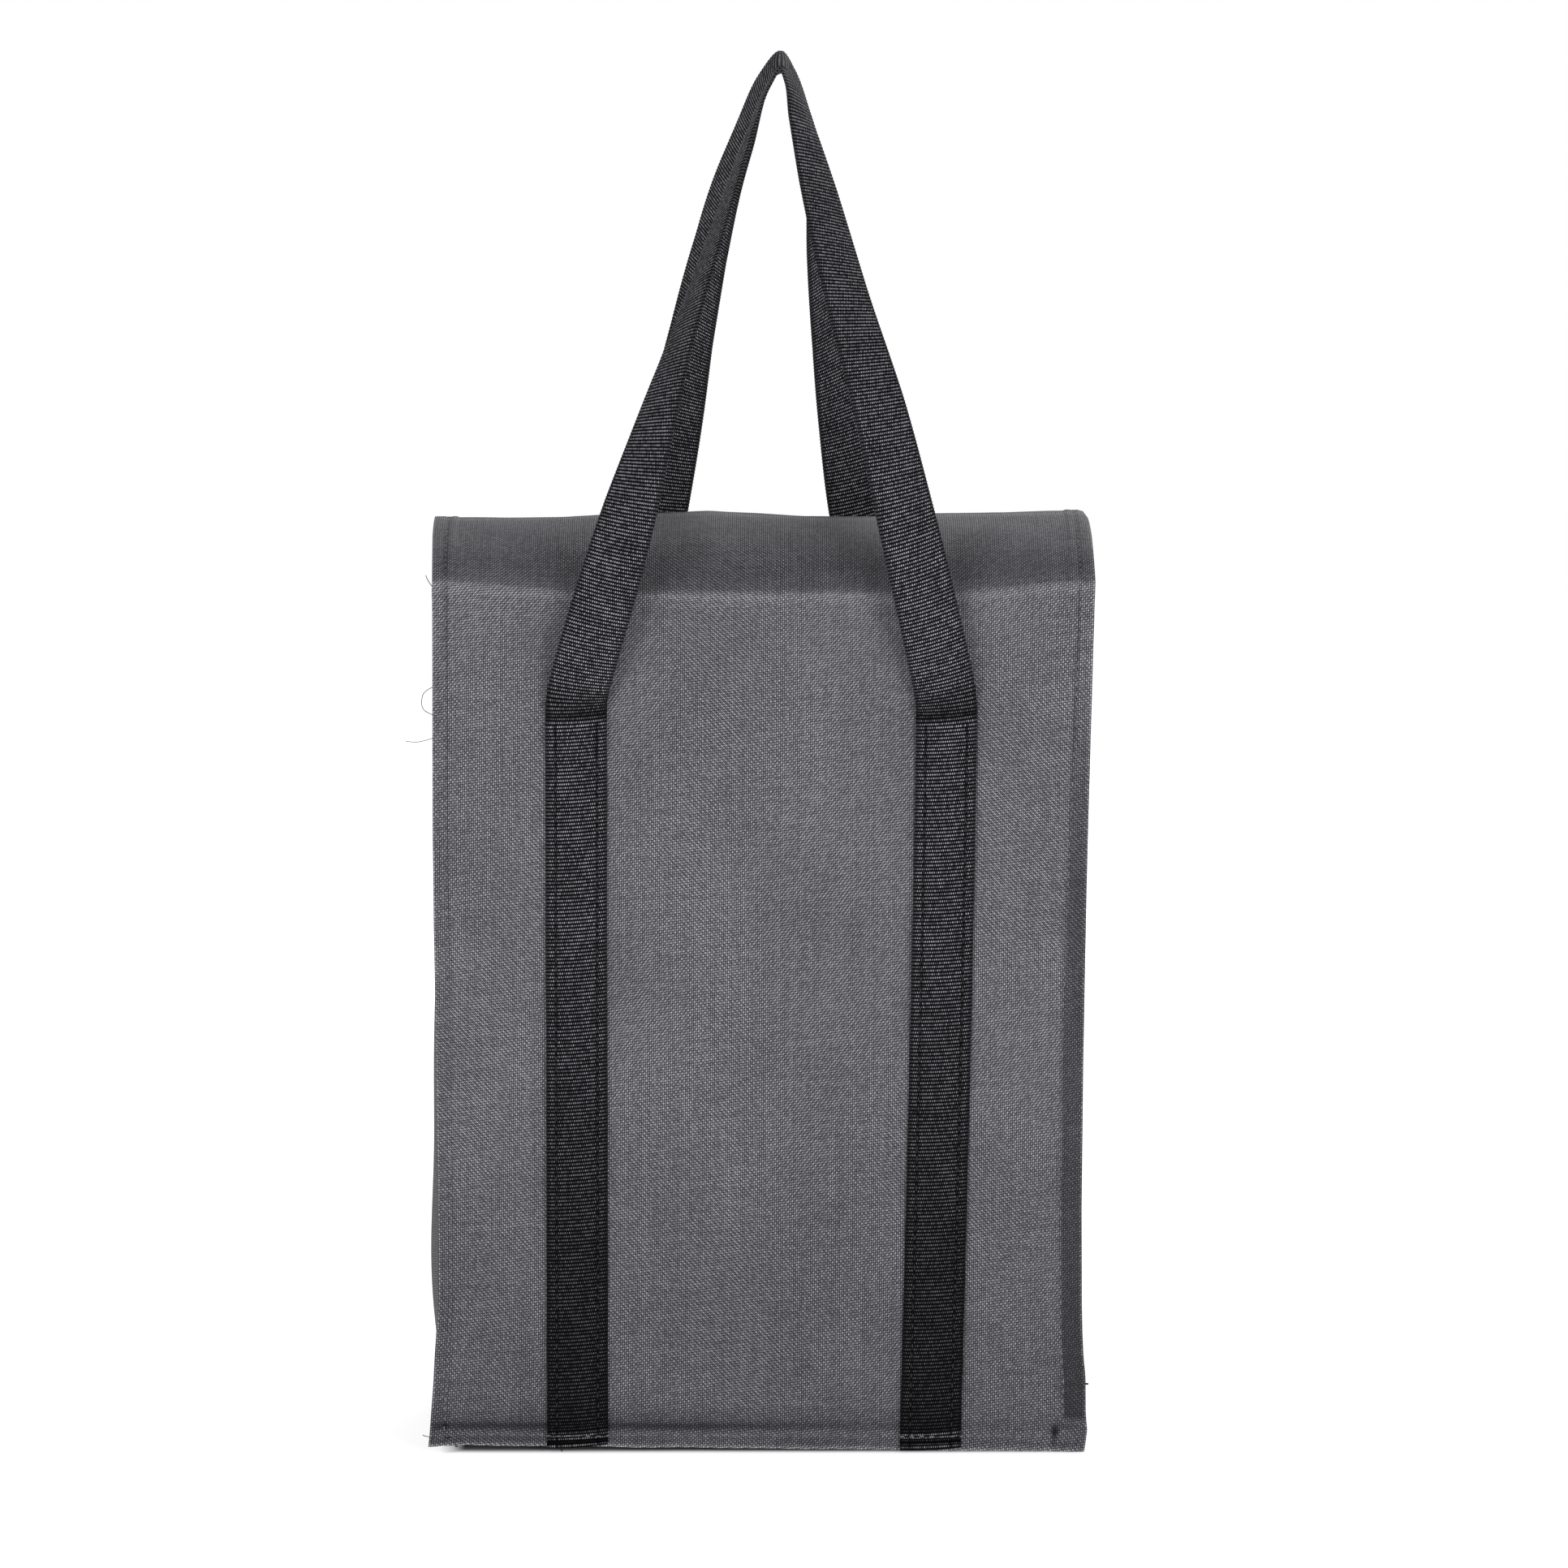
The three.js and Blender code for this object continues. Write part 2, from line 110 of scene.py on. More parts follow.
def setCamera():
    data = bpy.data.cameras.new("camera")
    data.sensor_width = studio["sensor"]
    data.lens = studio["sensor"] * studio["distance"] / studio["seenAcross"]
    data.clip_end = 50
    camera = bpy.data.objects.new("camera", data)
    tilt = math.radians(studio["tilt"])
    target = Vector(studio["lookAt"])
    camera.location = target + studio["distance"] * Vector((0, -math.cos(tilt), math.sin(tilt)))
    camera.rotation_euler = aimed(camera.location, target)
    bpy.context.collection.objects.link(camera)
    bpy.context.scene.camera = camera


def setLights():
    for name, place, size, power, colour in studio["lights"]:
        data = bpy.data.lights.new(name, "AREA")
        data.size = size
        data.energy = power
        data.color = colour
        light = bpy.data.objects.new(name, data)
        light.location = place
        light.rotation_euler = aimed(place, (0, 0, 0.22))
        bpy.context.collection.objects.link(light)
    world = bpy.data.worlds.new("studio")
    bpy.context.scene.world = world
    world.use_nodes = True
    tree = world.node_tree
    sky = tree.nodes["Background"]
    path = tree.nodes.new("ShaderNodeLightPath")
    strength = tree.nodes.new("ShaderNodeMapRange")
    strength.inputs["To Min"].default_value = studio["skyToBag"]
    strength.inputs["To Max"].default_value = studio["skyToCamera"]
    tree.links.new(path.outputs["Is Camera Ray"], strength.inputs["Value"])
    tree.links.new(strength.outputs["Result"], sky.inputs["Strength"])
    sky.inputs["Color"].default_value = (1, 1, 1, 1)
    bpy.context.scene.view_settings.view_transform = "Standard"


def setFloor():
    bpy.ops.mesh.primitive_plane_add(size=studio["floorSize"], location=(0, 0, 0))
    floor = bpy.context.object
    floor.name = "studio_floor"
    bpy.ops.object.transform_apply()
    material = bpy.data.materials.new("paleFloor")
    material.use_nodes = True
    shader = material.node_tree.nodes["Principled BSDF"]
    shader.inputs["Base Color"].default_value = studio["floorColour"]
    shader.inputs["Roughness"].default_value = 0.9
    shader.inputs["Specular IOR Level"].default_value = 0.1
    shader.inputs["Emission Color"].default_value = (1, 1, 1, 1)
    tree = material.node_tree
    place = node(tree, "TexCoord").outputs["Object"]
    reach = node(tree, "VectorMath", place, operation="LENGTH").outputs["Value"]
    glow = node(tree, "MapRange", reach, 0.3, 1.4, studio["nearGlow"], studio["farGlow"]).outputs[0]
    # nothing glows under the bag, and the glow comes back only a few millimetres past its front and back: a
    # painted contact shadow there, over the real shadow on the floor's own colour
    split = node(tree, "SeparateXYZ", place)
    pastSide = maths(tree, "SUBTRACT", maths(tree, "ABSOLUTE", split.outputs[0]), halfWidth - 12 * mm)
    pastFront = maths(tree, "SUBTRACT", maths(tree, "ABSOLUTE", split.outputs[1]), halfDepth - 3 * mm)
    past = maths(tree, "MAXIMUM", pastSide, pastFront)
    outside = node(tree, "MapRange", past, 0, studio["shadowReach"]).outputs[0]
    glow = maths(tree, "MULTIPLY", glow, outside)
    tree.links.new(glow, shader.inputs["Emission Strength"])
    floor.data.materials.append(material)


# helpers for nodes, meshes and curves

def node(tree, kind, *inputs, **settings):
    made = tree.nodes.new("ShaderNode" + kind)
    for name, value in settings.items():
        setattr(made, name, value)
    for place, value in enumerate(inputs):
        if isinstance(value, bpy.types.NodeSocket):
            tree.links.new(value, made.inputs[place])
        elif value is not None:
            made.inputs[place].default_value = value
    return made


def maths(tree, operation, *inputs):
    return node(tree, "Math", *inputs, operation=operation).outputs[0]


def newMaterial(name, roughness, specular, sheen):
    material = bpy.data.materials.new(name)
    material.use_nodes = True
    tree = material.node_tree
    shader = tree.nodes["Principled BSDF"]
    shader.inputs["Roughness"].default_value = roughness
    shader.inputs["Specular IOR Level"].default_value = specular
    shader.inputs["Sheen Weight"].default_value = sheen
    shader.inputs["Sheen Roughness"].default_value = 0.45
    return material, tree, shader


def deselectAll():
    bpy.ops.object.select_all(action="DESELECT")


def readPoints(mesh):
    flat = np.empty(len(mesh.vertices) * 3)
    mesh.vertices.foreach_get("co", flat)
    return flat.reshape(-1, 3)


def writePoints(mesh, points):
    mesh.vertices.foreach_set("co", np.ascontiguousarray(points, dtype=float).ravel())
    mesh.update()


def smooth(low, high, value):
    share = np.clip((value - low) / (high - low), 0, 1)
    return share * share * (3 - 2 * share)


def ridge(distance, reach):
    return np.exp(-((distance / reach) ** 2))


def waves(a, b, seed, shortest, longest, count=9):
    draw = np.random.default_rng(seed)
    turns = draw.uniform(0, math.tau, count)
    lengths = draw.uniform(shortest, longest, count)
    phases = draw.uniform(0, math.tau, count)
    total = 0
    for turn, length, phase in zip(turns, lengths, phases):
        total = total + np.sin(math.tau * (a * math.cos(turn) + b * math.sin(turn)) / length + phase)
    return total / math.sqrt(count)


def along(stops, value):
    # a line through given (place, amount) pairs, both in millimetres
    places, amounts = zip(*stops)
    return np.interp(value, np.array(places) * mm, np.array(amounts) * mm)


def spaced(length, count, crowded, crowd=3.5):
    # count + 1 places from 0 to length, closer together round the crowded ones
    fine = np.linspace(0, length, 6001)
    density = np.ones_like(fine)
    for middle, reach in crowded:
        density += (crowd - 1) * ridge(fine - middle, reach)
    total = np.cumsum(density)
    total = (total - total[0]) / (total[-1] - total[0])
    return np.interp(np.linspace(0, 1, count + 1), total, fine)


def gridOf(name, across, upward, place):
    # a flat grid whose points are then moved to where the cloth lies; its map is in metres
    deselectAll()
    columns, rows = len(across) - 1, len(upward) - 1
    bpy.ops.mesh.primitive_grid_add(x_subdivisions=columns, y_subdivisions=rows, size=2)
    piece = bpy.context.object
    piece.name = name
    mesh = piece.data
    flat = readPoints(mesh)
    a = across[np.rint((flat[:, 0] + 1) / 2 * columns).astype(int)]
    b = upward[np.rint((flat[:, 1] + 1) / 2 * rows).astype(int)]
    writePoints(mesh, np.column_stack(place(a, b)))
    setMap(piece, a, b)
    return piece, a, b


def setMap(piece, u, v):
    mesh = piece.data
    corners = np.empty(len(mesh.loops), dtype=int)
    mesh.loops.foreach_get("vertex_index", corners)
    mesh.uv_layers.active.data.foreach_set("uv", np.column_stack((u, v))[corners].ravel())


def setAmount(piece, name, amount):
    layer = piece.data.attributes.new(name, "FLOAT", "POINT")
    layer.data.foreach_set("value", np.broadcast_to(amount, len(piece.data.vertices)).astype(np.float32))


def thicken(piece, thickness):
    # the grid is the outer face; the wall grows inwards from it
    wall = piece.modifiers.new("wall", "SOLIDIFY")
    wall.thickness = thickness
    wall.offset = -1
    bpy.context.view_layer.objects.active = piece
    piece.select_set(True)
    bpy.ops.object.modifier_apply(modifier="wall")
    bpy.ops.object.shade_smooth_by_angle(angle=math.radians(42))


def finishPiece(piece, material):
    piece.data.materials.clear()
    piece.data.materials.append(material)


# materials

canvasLook = {
    "warpPitch": 0.87 * mm,      # side by side
    "weftPitch": 1.03 * mm,      # one above the other
    "weftSlope": 0.145,          # the wefts climb a little to the right
    "wander": 0.35 * mm,         # how far the threads stray from straight
    "lean": 0.75,                # the warp floats lean one way here and the other way there
    "dark": (0.004, 0.004, 0.006, 1),
    "light": (0.345, 0.341, 0.374, 1),
    "roughness": 0.62,
    "specular": 0.16,
    "sheen": 0.0,
    "bump": 0.2 * mm,
    "weftHeight": 0.66,
}


def noiseOf(tree, place, scale, detail, low=None, high=None, stretch=None):
    if stretch:
        place = node(tree, "Mapping", place, None, None, stretch).outputs[0]
    found = node(tree, "TexNoise", place, None, scale, detail, noise_dimensions="2D").outputs[0]
    if low is None:
        return found
    return node(tree, "MapRange", found, 0.32, 0.68, low, high).outputs[0]


def ribbed(tree, value):
    # zero at every whole number and one between them
    return maths(tree, "ABSOLUTE", maths(tree, "SINE", maths(tree, "MULTIPLY", value, math.pi)))


def cellShape(tree, acrossCell, acrossPower, upCell, upPower):
    # a float of thread: higher powers make it narrower across or up
    across = maths(tree, "POWER", acrossCell, acrossPower)
    return maths(tree, "MULTIPLY", across, maths(tree, "POWER", upCell, upPower))


def colourBetween(tree, amount, dark, light):
    return node(tree, "Mix", amount, None, None, None, None, None,
                dark, light, data_type="RGBA", clamp_factor=True).outputs[2]


def addBump(tree, shader, height, strength, distance):
    bump = node(tree, "Bump")
    bump.inputs["Strength"].default_value = strength
    bump.inputs["Distance"].default_value = distance
    tree.links.new(height, bump.inputs["Height"])
    tree.links.new(bump.outputs[0], shader.inputs["Normal"])


def canvasMaterial():
    look = canvasLook
    material, tree, shader = newMaterial("canvas", look["roughness"], look["specular"], look["sheen"])
    uv = node(tree, "UVMap").outputs[0]
    drift = node(tree, "TexNoise", uv, None, 16.0, 2.0, noise_dimensions="2D").outputs["Color"]
    push = node(tree, "VectorMath", drift, (0.5, 0.5, 0.5), operation="SUBTRACT").outputs[0]
    push = node(tree, "VectorMath", push, None, None, 2 * look["wander"], operation="SCALE").outputs[0]
    place = node(tree, "VectorMath", uv, push, operation="ADD").outputs[0]
    split = node(tree, "SeparateXYZ", place)
    u, v = split.outputs[0], split.outputs[1]
    level = maths(tree, "MULTIPLY_ADD", u, -look["weftSlope"], v)
    row = maths(tree, "DIVIDE", level, look["weftPitch"])
    rowNumber = maths(tree, "FLOOR", row)
    lean = noiseOf(tree, uv, 13.0, 1.0, look["lean"], -look["lean"], (1.0, 0.55, 1.0))
    slant = maths(tree, "MULTIPLY", maths(tree, "SUBTRACT", maths(tree, "FRACT", row), 0.5), lean)
    column = maths(tree, "SUBTRACT", maths(tree, "DIVIDE", u, look["warpPitch"]), slant)
    columnNumber = maths(tree, "FLOOR", column)
    warpUp = maths(tree, "FLOORED_MODULO", maths(tree, "ADD", columnNumber, rowNumber), 2.0)
    acrossCell, upCell = ribbed(tree, column), ribbed(tree, row)
    warpShape = cellShape(tree, acrossCell, 0.8, upCell, 0.4)
    weftShape = maths(tree, "MULTIPLY", cellShape(tree, acrossCell, 0.5, upCell, 0.8), look["weftHeight"])
    height = node(tree, "Mix", warpUp, None, weftShape, warpShape).outputs[0]
    cell = node(tree, "CombineXYZ", columnNumber, rowNumber).outputs[0]
    chance = node(tree, "TexWhiteNoise", cell, noise_dimensions="2D").outputs["Value"]
    uneven = node(tree, "MapRange", chance, 0.0, 1.0, 0.66, 1.24).outputs[0]
    # slubs: long faint streaks both ways, and broad cloudy patches
    streak = noiseOf(tree, uv, 1.0, 1.0, 0.92, 1.08, (700.0, 12.0, 1.0))
    weftStreak = noiseOf(tree, uv, 1.0, 1.0, 0.92, 1.08, (20.0, 760.0, 1.0))
    cloud = noiseOf(tree, uv, 22.0, 3.0, 0.93, 1.08)
    cast = maths(tree, "MULTIPLY", maths(tree, "MULTIPLY", streak, weftStreak), cloud)
    amount = maths(tree, "MULTIPLY", maths(tree, "POWER", height, 1.7), maths(tree, "MULTIPLY", uneven, cast))
    # painted light and shade from each piece (highlights on the crease and crown, shade in seams, hollows and
    # on turned cloth), with lighter cut edges: it scales the weave's brightness, and adds a little where it
    # is positive
    paintedLightAndTone = node(tree, "Attribute", attribute_name="paintedLightAndTone").outputs["Fac"]
    amount = maths(tree, "MULTIPLY", amount, maths(tree, "ADD", paintedLightAndTone, 1.0))
    amount = maths(tree, "MULTIPLY_ADD", maths(tree, "MAXIMUM", paintedLightAndTone, 0.0), 0.06, amount)
    colour = colourBetween(tree, amount, look["dark"], look["light"])
    tree.links.new(colour, shader.inputs["Base Color"])
    addBump(tree, shader, height, 0.8, look["bump"])
    return material


webbingLook = {
    "ribPitch": 1.5 * mm,
    "speckPitch": 0.9 * mm,
    "ground": (0.0006, 0.0006, 0.0009, 1),
    "speck": (0.36, 0.355, 0.39, 1),
    "stitchColumn": 8.5 * mm,    # middle line to the sunk column of edge stitching
    "edgeBand": 11.2 * mm,       # the selvage starts here
    "roughness": 0.6,
    "specular": 0.03,
    "sheen": 0.0,
    "bump": 0.2 * mm,
}


def webbingMaterial():
    look = webbingLook
    material, tree, shader = newMaterial("webbing", look["roughness"], look["specular"], look["sheen"])
    uv = node(tree, "UVMap").outputs[0]
    split = node(tree, "SeparateXYZ", uv)
    u, v = split.outputs[0], split.outputs[1]
    row = maths(tree, "DIVIDE", v, look["ribPitch"])
    rowNumber = maths(tree, "FLOOR", row)
    shift = maths(tree, "MULTIPLY", maths(tree, "FLOORED_MODULO", rowNumber, 2.0), 0.5)
    column = maths(tree, "MULTIPLY_ADD", u, 1 / look["speckPitch"], shift)
    columnNumber = maths(tree, "FLOOR", column)
    acrossCell, upCell = ribbed(tree, column), ribbed(tree, row)
    fromMiddle = maths(tree, "ABSOLUTE", u)
    edge = look["edgeBand"]
    selvage = node(tree, "MapRange", fromMiddle, edge - 0.4 * mm, edge + 0.4 * mm).outputs[0]
    sunk = maths(tree, "ABSOLUTE", maths(tree, "SUBTRACT", fromMiddle, look["stitchColumn"]))
    sunk = node(tree, "MapRange", sunk, 0.3 * mm, 0.8 * mm, 1.0, 0.0).outputs[0]
    sewn = node(tree, "Attribute", attribute_name="sewn").outputs["Fac"]
    sunk = maths(tree, "SUBTRACT", 1.0, maths(tree, "MULTIPLY", maths(tree, "MULTIPLY", sunk, sewn), 0.85))
    cell = node(tree, "CombineXYZ", columnNumber, rowNumber).outputs[0]
    chance = node(tree, "TexWhiteNoise", cell, noise_dimensions="2D").outputs["Value"]
    uneven = node(tree, "MapRange", chance, 0.0, 1.0, 0.3, 1.25).outputs[0]
    dots = cellShape(tree, acrossCell, 2.6, upCell, 4.0)
    dots = maths(tree, "MULTIPLY", dots, uneven)
    line = maths(tree, "MULTIPLY", maths(tree, "POWER", upCell, 3.0), 0.14)
    amount = node(tree, "Mix", selvage, None, dots, line).outputs[0]
    amount = maths(tree, "MULTIPLY", amount, sunk)
    cloud = noiseOf(tree, uv, 90.0, 3.0, 0.84, 1.1)
    amount = maths(tree, "MULTIPLY", amount, cloud)
    # glow: painted highlight on the free arms and painted shade over the tack, with the ribs' brightness by
    # height
    glow = node(tree, "Attribute", attribute_name="glow").outputs["Fac"]
    amount = maths(tree, "MULTIPLY", amount, glow)
    colour = colourBetween(tree, amount, look["ground"], look["speck"])
    tree.links.new(colour, shader.inputs["Base Color"])
    height = maths(tree, "MULTIPLY", maths(tree, "MULTIPLY", acrossCell, upCell), sunk)
    addBump(tree, shader, height, 0.8, look["bump"])
    return material


def twistedMaterial(name, dark, light, scale, roughness, bumpDepth):
    # thread, hook tape and board: a fine tight grain in the piece's own place
    material, tree, shader = newMaterial(name, roughness, 0.4, 0.1)
    place = node(tree, "TexCoord").outputs["Object"]
    grain = node(tree, "TexNoise", place, None, scale, 3.0).outputs[0]
    broad = node(tree, "TexNoise", place, None, scale / 14, 2.0).outputs[0]
    mixed = maths(tree, "ADD", maths(tree, "MULTIPLY", grain, 0.65), maths(tree, "MULTIPLY", broad, 0.35))
    amount = node(tree, "MapRange", mixed, 0.35, 0.65).outputs[0]
    tree.links.new(colourBetween(tree, amount, dark, light), shader.inputs["Base Color"])
    addBump(tree, shader, grain, 0.6, bumpDepth)
    return material


# the standing walls of the bag

backWall = {
    "side": -1,
    "belly": 1.6 * mm,
    "ripple": 0.55 * mm,
    "seed": 4,
    # millimetres above the ground, millimetres that the edge or seam lies out past straight
    "leftEdge": [(0, 2.6), (9, 2.1), (29, 0.6), (39, 0.1), (46, -0.4), (63, -1.6), (110, -1.6), (200, -0.5),
                 (260, 0.2), (360, 0)],
    "rightEdge": [(0, -1.8), (5, -0.9), (9, -0.4), (13, -0.8), (16, -1.0), (30, -1.0), (38, -1.9), (48, -2.4),
                  (60, -2.7), (100, -2.9), (160, -2.4), (230, -1.3), (295, 0.3), (360, 2.0)],
    "leftSeam": [(0, 0), (360, 0)],
    "rightSeam": [(0, -4.2), (180, -3.8), (300, -1.0), (356, 0)],
    "leftTurn": 6,               # degrees that the side flange is turned back past the seam
    "rightTurn": 24,
    "patch": 1.1 * mm,           # a thick folded corner at the right of the foot, with a pucker beside it
    "pucker": 1.3 * mm,
    "dent": 0.45 * mm,           # a short slanting dent low in the middle
}
frontWall = {
    "side": 1,
    "belly": 1.4 * mm,
    "ripple": 0.5 * mm,
    "seed": 9,
    "leftEdge": [(0, 0), (360, 0)],
    "rightEdge": [(0, 0), (360, 0)],
    "leftSeam": [(0, 0), (360, 0)],
    "rightSeam": [(0, 0), (360, 0)],
    "leftTurn": 10,
    "rightTurn": 10,
    "patch": 0,
    "pucker": 0,
    "dent": 0,
}
seams = {
    "groove": 0.55 * mm,
    "grooveReach": 1.3 * mm,
    "flangeWave": 0.8 * mm,
    "flare": 3.0 * mm,           # the bottom flange stands out at the ground
    "flareWave": 0.7 * mm,
    # across, and how far the lower edge of the bottom flange stands off the ground
    "lift": [(-137, 2.0), (-131, 2.2), (-120, 2.9), (-100, 2.4), (-60, 2.0), (0, 1.2), (60, 0.8),
             (120, 0.3), (137, 0.1)],
    "liftWave": 0.35 * mm,
    "bottomGroove": 10.0 * mm,   # above the ground
    "bottomGrooveDepth": 1.6 * mm,
}


def seamOf(wall, right, z):
    left = along(wall["leftSeam"], z)
    return sideSeam + np.where(right, along(wall["rightSeam"], z), left)


def wallX(wall, x, z):
    # the side edges wander a little, and the cloth near them goes along
    right = x > 0
    shift = np.where(right, along(wall["rightEdge"], z), along(wall["leftEdge"], z))
    share = np.abs(x) / halfWidth
    return x + np.sign(x) * shift * share ** 4


def flangeRelief(wall, x, z):
    # side flanges: a sunk seam, then the free edge turned back and waving
    right = x > 0
    past = np.abs(x) - seamOf(wall, right, z)
    turn = np.tan(np.radians(np.where(right, wall["rightTurn"], wall["leftTurn"])))
    free = np.clip(past, 0, None)
    wave = waves(z, 0 * z, wall["seed"] + 1, 40 * mm, 120 * mm) * np.where(right, 1, -1)
    relief = -seams["groove"] * ridge(past, seams["grooveReach"])
    relief = relief - free * turn * smooth(0, 20 * mm, foldHeight - z) * smooth(8 * mm, 40 * mm, z)
    return relief + seams["flangeWave"] * wave * smooth(0, 8 * mm, free)


def bottomRelief(wall, x, z):
    # the bottom flange: a sunk line, then the raw edge flaring out over the ground
    down = smooth(bottomSeam, 0, z)
    wave = waves(x, 0 * x, wall["seed"] + 2, 30 * mm, 110 * mm)
    shallow = 1 - 0.55 * smooth(-40 * mm, 110 * mm, x)
    relief = -seams["bottomGrooveDepth"] * shallow * ridge(z - seams["bottomGroove"], 2.2 * mm)
    relief = relief - 0.5 * seams["groove"] * ridge(z - bottomSeam, 1.0 * mm)
    patch = smooth(121 * mm, 124 * mm, x) * smooth(17 * mm, 11.5 * mm, z)
    relief = relief + wall["patch"] * patch - wall["pucker"] * puckerAt(x, z)
    return relief + down * (seams["flare"] + seams["flareWave"] * wave)


def puckerAt(x, z):
    return ridge(x - 121.6 * mm, 1.2 * mm) * ridge(z - 7.5 * mm, 3.6 * mm)


def dentAt(x, z):
    # slants up to the right
    lengthwise = (x - 17 * mm) * 0.83 + (z - 34 * mm) * 0.55
    sideways = (z - 34 * mm) * 0.83 - (x - 17 * mm) * 0.55
    return ridge(lengthwise, 4.5 * mm) * ridge(sideways, 1.5 * mm)


def wallShadeAndTone(wall, x, z):
    # painted shade in the side seam grooves, over the bottom flange, on the turned flange, in the pucker and
    # in the dent; darker towards the bottom, lighter at cut edges
    right = x > 0
    past = np.abs(x) - seamOf(wall, right, z)
    upper = smooth(150 * mm, 330 * mm, z)
    # painted shade in the side seam's groove, stronger higher up
    paintedLightAndTone = -(0.25 + 0.4 * upper) * ridge(past + 0.3 * mm, 0.6 * mm)
    # painted shadow in the groove over the bottom flange, stronger on the left
    low = 1 - 0.75 * smooth(-40 * mm, 110 * mm, x)
    paintedLightAndTone = paintedLightAndTone - low * (0.5 * ridge(z - seams["bottomGroove"], 1.4 * mm)
                         + 0.25 * ridge(z - seams["bottomGroove"] - 3 * mm, 5 * mm))
    # painted shade on the turned flange, more on the right
    turned = smooth(-0.5 * mm, 1 * mm, past) * smooth(foldHeight - 30 * mm, foldHeight - 130 * mm, z)
    paintedLightAndTone = paintedLightAndTone - np.where(right, 0.55, 0.12) * turned * (1 - 0.8 * smooth(15 * mm, 12 * mm, z))
    # darker towards the bottom
    paintedLightAndTone = paintedLightAndTone - 0.22 * smooth(170 * mm, 20 * mm, z)
    # painted shade in the pucker and in the dent
    paintedLightAndTone = paintedLightAndTone - (wall["pucker"] > 0) * 0.8 * puckerAt(x, z) - (wall["dent"] > 0) * 0.3 * dentAt(x, z)
    return paintedLightAndTone + 0.6 * ridge(halfWidth - np.abs(x), 0.7 * mm) + 1.0 * ridge(z, 0.8 * mm)


def wallRelief(wall, x, z):
    # how far the cloth stands out past the flat panel
    past = seamOf(wall, x > 0, z) - np.abs(x)
    inside = smooth(0, 26 * mm, past) * smooth(bottomSeam, bottomSeam + 30 * mm, z)
    top = smooth(0, 34 * mm, foldHeight - z)
    if wall["side"] > 0:
        top = smooth(-4 * mm, 40 * mm, flapHem - z)
    span = np.clip(np.abs(x) / sideSeam, 0, 1)
    belly = wall["belly"] * (1 - span ** 2) * np.sin(math.pi * np.clip(z / foldHeight, 0, 1))
    ripple = wall["ripple"] * waves(x, z, wall["seed"], 55 * mm, 190 * mm)
    fine = 0.16 * mm * waves(x, z, wall["seed"] + 5, 16 * mm, 40 * mm)
    soft = (belly + ripple + fine) * inside * top - wall["dent"] * dentAt(x, z)
    return soft + flangeRelief(wall, x, z) + bottomRelief(wall, x, z)


def wallLift(wall, x, z):
    # the lower edge of the cloth waves a little above the ground
    wave = 0.5 + 0.5 * waves(x, 0 * x, wall["seed"] + 3, 25 * mm, 80 * mm, 5)
    lift = along(seams["lift"], -wall["side"] * x) + seams["liftWave"] * wave
    return np.clip(lift, 0.1 * mm, None) * smooth(bottomSeam + 2 * mm, 0, z)


# back panel and lid: one cloth that folds over the back edge and hangs down in front

lid = {
    "columns": 132,
    "rows": 236,
    "foldRound": 1.3 * mm,
    "creaseStep": 0.7 * mm,      # the crease stands out past the panel below it
    "leftEdge": [(0, 0), (40, 1.0), (78, 1.3), (200, 0.4)],     # along the cloth from the fold, and outwards
    "rightEdge": [(0, 2.0), (40, 1.5), (78, 0.7), (200, 0)],
    # across, and how much the crown stands up
    "crown": [(-135, 0.2), (-105, 0.4), (-72, 1.0), (-40, 2.0), (-22, 2.9), (-8, 2.1), (7, 1.4), (18, 0.8),
              (45, 0.8), (73, 1.7), (92, 1.9), (107, 2.6), (118, 3.1), (131, 3.1), (133.5, 2.4), (135, 0.3)],
    "crownReach": 42 * mm,
    "dip": 4.2 * mm,             # the fold sags between the side seams
    "dipReach": 22 * mm,
    "ripple": 0.35 * mm,
    "hem": 9 * mm,               # turned edge of the lid
    "hemStep": 0.45 * mm,
    "hemStitch": 5 * mm,
    "flapStitch": 3.8 * mm,      # stitch line above the flap's edge
}


def lidProfile():
    # side view of the cloth, from the ground up the back, over the crown and down the flap
    middle = (flapFace - halfDepth) / 2
    halfChord = (flapFace + halfDepth) / 2
    base = foldHeight + gap
    crown = lidTop - base
    radius = (halfChord ** 2 + crown ** 2) / (2 * crown)
    sweep = math.asin(halfChord / radius)
    turn = np.linspace(-sweep, sweep, 300)
    arch = np.column_stack((middle + radius * np.sin(turn), lidTop - radius + radius * np.cos(turn)))
    back = np.column_stack((np.full(300, -halfDepth), np.linspace(0, base, 300, endpoint=False)))
    flap = np.column_stack((np.full(60, flapFace), np.linspace(base, flapHem, 61)[1:]))
    line = np.vstack((back, arch, flap))
    run = np.concatenate(([0], np.cumsum(np.linalg.norm(np.diff(line, axis=0), axis=1))))
    stations = np.linspace(0, run[-1], 2400)
    y, z = np.interp(stations, run, line[:, 0]), np.interp(stations, run, line[:, 1])
    # round both folds by averaging along the line
    reach = int(3 * lid["foldRound"] / stations[1])
    weights = ridge(np.arange(-reach, reach + 1) * stations[1], lid["foldRound"] * 1.4)
    weights /= weights.sum()
    keep = slice(reach, -reach)
    y[keep], z[keep] = np.convolve(y, weights, "valid"), np.convolve(z, weights, "valid")
    normalY, normalZ = -np.gradient(z, stations), np.gradient(y, stations)
    size = np.hypot(normalY, normalZ)
    return stations, y, z, normalY / size, normalZ / size


lidStations, lidY, lidZ, lidNormalY, lidNormalZ = lidProfile()
lidLength = lidStations[-1]
frontFold = lidLength - (foldHeight + gap - flapHem)
crownLine = (foldHeight + gap + frontFold) / 2


